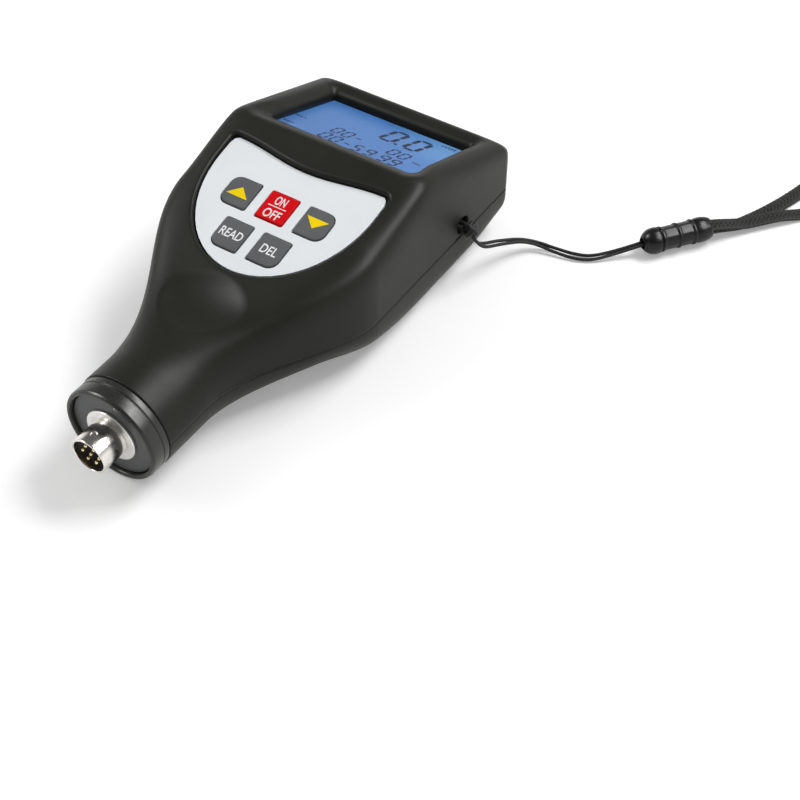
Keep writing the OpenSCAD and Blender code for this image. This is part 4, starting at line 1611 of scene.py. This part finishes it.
@dataclass
class Keypad:
    """Label, five keys and their print."""

    key: tuple[float, float] = (9.7, 10.2)
    pitch: tuple[float, float] = (13.6, 14.1)
    rise: float = 0.5
    flange: tuple[float, float] = (-4.3, -3.1)
    print_lift: float = 0.02
    word_thick: float = 0.03
    mark_ends: tuple[float, float] = (0.01, 0.015)
    edge_r: float = 0.4
    arrow: Triple = (3.8, 1.85, 1.75)
    bar: Triple = (3.2, 0.13, 0.17)

    def keys(self) -> list[Key]:
        """The five keys in reading order."""
        px, py = self.pitch
        s, r = 0.5, 3
        grey, red = (KEY_GREY, "key_grey"), (KEY_RED, "key_red")
        return [
            Key("key_up", -px, 0, (s, s, r, r), Body.UP, Legend.RISE, *grey),
            Key("key_power", 0, 0, (s, s, s, s), Body.POWER, Legend.POWER, *red),
            Key("key_down", px, 0, (r, r, s, s), Body.DOWN, Legend.FALL, *grey),
            Key("key_read", -px / 2, -py, (s, s, r, s), Body.READ, Legend.READ, *grey),
            Key("key_delete", px / 2, -py, (s, r, s, s), Body.DELETE, Legend.DELETE, *grey),
        ]

    def outline(self, key: Key, grow: float) -> list[tuple[float, float]]:
        """Outline of a key grown by a distance, clockwise from the right top corner."""
        w, l = (s / 2 + grow for s in self.key)
        points = []
        for q, radius in enumerate(key.corners):
            r = max(radius + grow, 0.05)
            sx, sy = (1 if q < 2 else -1), (1 if q in (0, 3) else -1)
            for i in range(7):
                a = math.radians(90 - 90 * q - 15 * i)
                points.append((key.u + sx * (w - r) + r * math.cos(a),
                               key.v + sy * (l - r) + r * math.sin(a)))
        return points

    def cap(self, key: Key) -> Object:
        """Key with a flange below and softly rounded top edges."""
        (low, high), r = self.flange, self.edge_r
        rows = [(1.0, low), (1.0, high), (0.0, high), (0.0, self.rise - r)]
        rows += [(-r * (1 - math.cos(a)), self.rise - r * (1 - math.sin(a)))
                 for a in np.linspace(0.3, math.pi / 2, 5)]
        rings = np.array([[KEYPAD.place(u, v, n) for u, v in self.outline(key, grow)] for grow, n in rows])
        return face_outward(new_object("gauge_" + key.node, *ring_skin(rings)), sharp=50)

    def word(self, name: str, text: str, size: tuple[float, float], u: float, v: float) -> Object:
        """Printed word centred on a place of the keypad.

        Args:
            name: name of the piece.
            text: the word.
            size: width and height of the word in millimetres.
            u: place across the keypad.
            v: place up the keypad.

        Returns:
            The word as a mesh.
        """
        made = flat_word(name, text, size, self.word_thick)
        at = (u * MM, v * MM, (self.rise + self.print_lift) * MM)
        made.data.transform(KEYPAD.matrix() @ Matrix.Translation(at))
        return made

    def mark(self, name: str, outline: Sequence[tuple[float, float]]) -> Object:
        """Printed mark with a flat outline, as a thin plate on a key."""
        sunk, proud = self.mark_ends
        ends = (self.rise - sunk, self.rise + self.print_lift + proud)
        rings = np.array([[KEYPAD.place(u, v, n) for u, v in outline] for n in ends])
        return face_outward(new_object(name, *ring_skin(rings), smooth=False))

    def printed(self, key: Key) -> list[tuple[Object, Finish]]:
        """Print of a key: the pieces with their inks."""
        name = "gauge_" + key.node + "_print"
        if key.legend in (Legend.RISE, Legend.FALL):
            s = 1 if key.legend is Legend.RISE else -1
            half, foot, tip = self.arrow
            corners = [(key.u - half, key.v - foot * s), (key.u + half, key.v - foot * s),
                       (key.u, key.v + tip * s)]
            return [(self.mark(name, corners), INK_YELLOW)]
        if key.legend is Legend.POWER:
            half, low, high = self.bar
            bar = [(key.u - half, key.v - low), (key.u + half, key.v - low), (key.u + half, key.v + high),
                   (key.u - half, key.v + high)]
            return [(self.word(name + "_on", "ON", (3.8, 3.2), key.u, key.v + 2.3), INK_WHITE),
                    (self.mark(name + "_bar", bar), INK_WHITE),
                    (self.word(name + "_off", "OFF", (5.8, 3.2), key.u, key.v - 2.7), INK_WHITE)]
        width = 7.8 if key.legend is Legend.READ else 5.7
        return [(self.word(name, key.legend.value, (width, 3.1), key.u + 0.2, key.v + 0.1), INK_WHITE)]

    def build(self) -> None:
        """Builds and dresses the keypad."""
        DRESSER.paint(LABEL_WHITE, "keypad_label")
        for key in self.keys():
            DRESSER.piece(self.cap(key), key.finish, key.slot, key.body, key.node)
            for obj, ink in self.printed(key):
                DRESSER.piece(obj, ink, key.slot, key.body)


# strap


@dataclass
class Strap:
    """Doubled cord from the eye, its knot, the moulded bead and the braided band."""

    post_x: float = 33.4
    eye: Triple = (36.6, 51.8, 19.6)
    cord_r: float = 0.55
    post_r: float = 0.8
    bead_p: Triple = (80.6, 91.2, 4.35)
    bead_dir: Triple = (0.605, 0.796, 0.0)
    bead_r: float = 4.35
    bead_len: float = 24.6
    band_w: float = 5.4
    band_reach: float = 118.0
    band_open: float = 30.0
    band_bend: float = 26.0
    band_rows: int = 640
    yarns: int = 8
    yarn_r: float = 0.5
    yarn_sides: int = 7
    braid_pitch: float = 13.0
    braid_lift: float = 0.24
    cord_steps: int = 8
    cord_apart: float = 0.64
    knot_rows: int = 110
    knot_turns: float = 2.6
    knot_half: float = 1.15
    knot_cord_r: float = 0.85

    def via(self) -> np.ndarray:
        """Points that the doubled cord passes, the same as in the CAD source."""
        x, y, z = self.eye
        bx, by, bz = self.bead_p
        return np.array([
            (self.post_x + 0.1, y, z), (x + 2.4, y + 0.6, z - 0.8), (x + 4, y + 1.2, 14.8), (41.8, 56, 11),
            (44, 64, 7.4), (47.2, 71, 4.6), (51.2, 74.8, 2.6), (57, 76.4, 1.4), (63.3, 77.7, 0.9),
            (68.7, 80.2, 0.9), (74.2, 85.2, 2), (bx + 0.6, by + 0.8, bz)])

    def strands(self) -> tuple[np.ndarray, np.ndarray]:
        """Centre lines of the two strands from the post to the bead."""
        row = smooth_row(self.via(), self.cord_steps)
        seg = np.arange(len(row)) / self.cord_steps
        reach = self.post_r + self.cord_r + 0.06
        waves = np.sin(np.radians(400 * seg / seg[-1] - 26)) ** 2
        part = (self.cord_apart + 0.45 * waves * ease(seg / 2 - 0.6)
                + (reach - self.cord_apart) * (1 - ease(seg)))
        side = row_frames(row)[1]
        turn = np.radians(np.linspace(180, 260, 9))
        loop = np.stack([self.post_x + reach * np.cos(turn), self.eye[1] + reach * np.sin(turn),
                         np.full(9, self.eye[2])], axis=1)
        right, left = row + side * part[:, None], row - side * part[:, None]
        mirrored = loop * [1, -1, 1] + [0, 2 * self.eye[1], 0]
        return np.concatenate([loop, right]), np.concatenate([mirrored, left])

    def tube(self, name: str, row: np.ndarray, radius: float, sides: int = 12) -> Object:
        """Round cord along a row, with a map that runs round and along it.

        Args:
            name: name of the piece.
            row: centre line.
            radius: radius of the cord.
            sides: points of a ring.

        Returns:
            The cord.
        """
        side, up = row_frames(row)[1:]
        turn = circle(sides)
        rings = row[:, None] + radius * (side[:, None] * np.cos(turn)[None, :, None]
                                         + up[:, None] * np.sin(turn)[None, :, None])
        made = new_object(name, *ring_skin(rings))
        along = mileage(row)
        layer = made.data.uv_layers.new(name="threads")
        for polygon in made.data.polygons:
            for k in polygon.loop_indices:
                v = made.data.loops[k].vertex_index
                layer.data[k].uv = (v % sides / sides, along[v // sides])
        return face_outward(made)

    def knot(self) -> Object:
        """Barrel knot: the cord wound round itself just outside the eye.

        Returns:
            The knot.
        """
        row = smooth_row(self.via(), self.cord_steps)
        at, d, s, u = (rows[self.cord_steps] for rows in (row, *row_frames(row)))
        turn = np.linspace(0, 2 * math.pi * self.knot_turns, self.knot_rows)
        swell = 1.3 + 0.7 * np.sin(np.linspace(0.25, math.pi - 0.25, self.knot_rows))
        along = np.linspace(-self.knot_half, self.knot_half, self.knot_rows)
        coil = (at + np.outer(along, d) + np.outer(swell * np.cos(turn), s)
                + np.outer(swell * np.sin(turn), u))
        over = np.radians(np.linspace(-70, 120, 24))
        strand = (at + np.outer(2.2 * np.sin(over), d) + np.outer(2.45 * np.cos(over), u * 0.8 + s * 0.6))
        line = smooth_row(np.concatenate([coil, strand])[::3], 3)
        return self.tube("gauge_strap_knot", line, self.knot_cord_r)

    def bead(self) -> Object:
        """Moulded bead: a domed cap, raised rings with eight flats between them and a round mouth.

        Returns:
            The bead.
        """
        r = self.bead_r
        dome = [(r * math.sin(a), 4.6 - 4.6 * math.cos(a)) for a in np.radians(np.linspace(26, 90, 9))]
        profile = [(1.9, 0.4)] + dome
        profile += [(r, 5.7), (3.7, 6.0), (3.7, 6.3), (4.2, 6.5), (4.2, 7.3), (3.75, 7.6)]
        for low, high in ((8.2, 11.6), (13.6, 17.0)):
            profile += [(3.8, low), (3.8, high), (3.75, high + 0.5), (4.2, high + 0.7), (4.2, high + 1.4),
                        (3.75, high + 1.6)]
        profile += [(4.0, 19.3), (4.15, 20.2), (4.15, 21.8), (3.8, 23.6), (3.3, self.bead_len),
                    (3.0, self.bead_len), (3.0, 14), (1.9, 13)]
        outline = eased_outline(np.array(profile), 0.28, 3)
        turn = circle(96)
        eighth = (turn % (math.pi / 4)) - math.pi / 8
        flats = 0.5 + 0.5 * math.cos(math.pi / 8) / np.cos(eighth) * 1.03
        d = np.array(self.bead_dir) / np.linalg.norm(self.bead_dir)
        side, up = np.array([d[1], -d[0], 0]), np.array([0, 0, 1.0])
        rings = []
        for q, t in outline:
            flat = q > 3.5 and (7.9 < t < 11.9 or 13.3 < t < 17.3)
            around = q * flats[:, None] if flat else q
            rings.append(np.array(self.bead_p) + d * t
                         + around * (np.outer(np.cos(turn), side) + np.outer(np.sin(turn), up)))
        made = new_object("gauge_strap_bead", *ring_skin(np.stack(rings), closed=True))
        return face_outward(made, sharp=28)

    def band_row(self, count: int) -> np.ndarray:
        """Centre line of the band, out from the bead and back into it."""
        d = np.array(self.bead_dir)
        across = np.array([d[1], -d[0], 0])
        start = np.array(self.bead_p) + d * (self.bead_len - 8)
        t = np.linspace(0, 2 * math.pi, count)
        f = (1 - np.cos(t)) / 2
        apart = ease((f - 0.27) / 0.11)
        drop = (1.5 - self.bead_r) * ease((f - 0.055) / 0.145) - 0.8 * apart
        stack = np.where(t < math.pi, 0.75, -0.75) * (1 - apart)
        return (start + np.outer(self.band_reach * f, d)
                + np.outer(self.band_open * np.sin(t) * f**1.9 - self.band_bend * f * f, across)
                + np.outer(drop + stack, [0, 0, 1]))

    def band(self) -> tuple[Object, np.ndarray]:
        """Flat braid of eight yarns along the band.

        Returns:
            The braid and the centre line that it follows.
        """
        row = self.band_row(self.band_rows)
        far = mileage(row)
        at = np.linspace(0, far[-1], self.band_rows)
        row = np.stack([np.interp(at, far, row[:, k]) for k in range(3)], axis=1)
        side, up = row_frames(row)[1:]
        points, edges = [], []
        for k in range(self.yarns):
            phase = at / self.braid_pitch + k / self.yarns
            sway = -np.cos(2 * math.pi * phase) * (self.band_w / 2 - self.yarn_r)
            over = np.clip(2 * np.sin(2 * math.pi * phase), -1, 1)
            lift = over * np.cos(2 * self.yarns * math.pi * phase) * self.braid_lift
            base = len(points)
            points += list(row + side * sway[:, None] + up * lift[:, None])
            edges += [(base + i, base + i + 1) for i in range(len(row) - 1)]
        name = "gauge_wrist_band"
        tool = NodeTool(
            name, BAND_BLACK,
            {"Radius": ("NodeSocketFloat", self.yarn_r * MM), "Sides": ("NodeSocketInt", self.yarn_sides),
             "Caps": ("NodeSocketBool", True)},
            {"curve": "GeometryNodeMeshToCurve", "ring": "GeometryNodeCurvePrimitiveCircle",
             "tube": "GeometryNodeCurveToMesh"},
            [("in.Start", "curve.Mesh"), ("in.Radius", "ring.Radius"), ("in.Sides", "ring.Resolution"),
             ("curve.Curve", "tube.Curve"), ("ring.Curve", "tube.Profile Curve"),
             ("in.Caps", "tube.Fill Caps"), ("tube.Mesh", "real.Geometry")])
        made = face_outward(tool.run(new_object(name, points, [], edges=edges)))
        made.data.shade_smooth()
        return made, row

    def build(self) -> None:
        right, left = self.strands()
        cords = [DRESSER.piece(self.tube("gauge_strap_cord_" + hand, line, self.cord_r), CORD_BLACK, "cord",
                               Body.CASE, *stands_for)
                 for hand, line, stands_for in (("right", right, ["strap_cord"]), ("left", left, []))]
        knot = DRESSER.piece(self.knot(), CORD_BLACK, "cord", Body.CASE, "strap_knot")
        bead = DRESSER.piece(self.bead(), BEAD_BLACK, "bead", Body.CASE, "strap_bead")
        braid, row = self.band()
        DRESSER.piece(braid, BAND_BLACK, "band", Body.CASE, "wrist_band")
        DRESSER.paint(STEEL, "strap_post")


# inside and studio


@dataclass
class Inside:
    """Boards, switches and cells inside the case."""

    def build(self) -> None:
        """Dresses the pieces inside."""
        DRESSER.paint(BOARD_GREEN, "display_board", "key_board")
        DRESSER.paint(CHIP_BLACK, "display_chips")
        DRESSER.paint(SWITCH_BLACK, "key_switches")
        DRESSER.paint(RIBBON_AMBER, "board_ribbon")
        DRESSER.paint(STEEL, "board_screws", "battery_springs", "battery_plates")
        DRESSER.paint(CELL_WRAP, "battery_1", "battery_2", "battery_3", "battery_4")


@dataclass
class Studio:
    """Camera, floor, backdrop light and lamps."""

    eye: Triple = (0.2153982, -0.2579571, 0.3198069)
    right: Triple = (0.8374, 0.5466, 0.0)
    up: Triple = (-0.3981, 0.6100, 0.6852)
    back: Triple = (0.3745, -0.5738, 0.7284)
    lens: float = 66.86
    sensor: float = 36.0
    ceiling: tuple[float, ...] = (1.0, 0.12, 0.08, 0.42)
    ambient: float = 0.4
    floor_half: float = 3000.0
    floor_glow: tuple[float, ...] = (0.24, 0.66, 0.5, 2.0)
    aim: Triple = (0.0, 0.0, 0.02)

    LAMPS = (
        ("key_box", (0.32, 0.5, 0.8), (0.5, 0.3), 6.4, False),
        ("fill_box", (-0.6, -0.2, 0.55), (0.5, 0.5), 1.5, False),
        ("crest_box", (0.66, 0.25, 0.71), (0.5, 0.6), 10.0, True),
        ("left_box", (-0.73, -0.17, 0.69), (0.3, 0.3), 5.5, True),
    )

    def camera(self) -> None:
        """Puts the camera where the photograph was taken from."""
        data = bpy.data.cameras.new("view")
        data.lens, data.sensor_width, data.clip_start = self.lens, self.sensor, 0.01
        made = linked("view", data)
        made.matrix_world = Matrix([
            (self.right[i], self.up[i], self.back[i], self.eye[i]) for i in range(3)] + [(0, 0, 0, 1)])
        bpy.context.scene.camera = made

    def backdrop(self) -> None:
        """White surroundings with a dim ceiling, dimmer for the light that they give."""
        world = bpy.data.worlds.new("studio")
        bpy.context.scene.world = world
        book = NodeBook(world)
        height = book.node("ShaderNodeSeparateXYZ", Vector=book.where()).outputs["Z"]
        strength = book.node("ShaderNodeMix", Factor=book.seen(), A=self.ambient,
                             B=book.span(height, *self.ceiling))
        book.set(Color=(1, 1, 1, 1), Strength=strength.outputs["Result"])

    def floor(self) -> None:
        """Pale floor that keeps the shadow and reads as white."""
        far = self.floor_half
        made = new_object("floor", [(-far, -far, 0), (far, -far, 0), (far, far, 0), (-far, far, 0)],
                          [(0, 1, 2, 3)], smooth=False)
        made.location.z = -0.00005
        book = NodeBook(bpy.data.materials.new("floor_pale"))
        drift = book.noise(book.where(), 200, 2)
        reach = book.node("ShaderNodeVectorMath", Vector=book.where())
        reach.operation = "LENGTH"
        glow = book.span(reach.outputs["Value"], *self.floor_glow)
        book.set(Base_Color=book.ramp(drift, (0.3, (0.86, 0.86, 0.86)), (0.7, (0.88, 0.88, 0.88))),
                 Roughness=0.9, Specular_IOR_Level=0.0, Emission_Color=(1, 1, 1, 1),
                 Emission_Strength=book.math("MULTIPLY", book.seen(), glow))
        made.data.materials.append(book.owner)

    def lamp(self, name: str, place: Triple, size: tuple[float, float], power: float,
             mirrored: bool) -> None:
        """One soft box that faces the gauge.

        Args:
            name: name of the lamp.
            place: place in metres.
            size: width and height in metres.
            power: power in watts.
            mirrored: whether only shine shows it.
        """
        data = bpy.data.lights.new(name, "AREA")
        data.shape, data.size, data.size_y, data.energy = "RECTANGLE", *size, power
        made = linked(name, data)
        turn = (Vector(place) - Vector(self.aim)).to_track_quat("Z", "Y").to_matrix().to_4x4()
        made.matrix_world = Matrix.Translation(place) @ turn
        made.visible_diffuse = made.visible_transmission = not mirrored

    def build(self) -> None:
        """Sets up the studio."""
        bpy.context.scene.view_settings.view_transform = "Standard"
        self.camera()
        self.backdrop()
        self.floor()
        for lamp in self.LAMPS:
            self.lamp(*lamp)


def main() -> None:
    """Builds every sub-assembly."""
    logging.basicConfig(level=logging.INFO, format="%(message)s")
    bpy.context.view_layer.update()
    Studio().build()
    Strap().build()
    Case().build()
    NeckEnd().build()
    Display().build()
    Keypad().build()
    Inside().build()


if __name__ == "__main__":
    main()
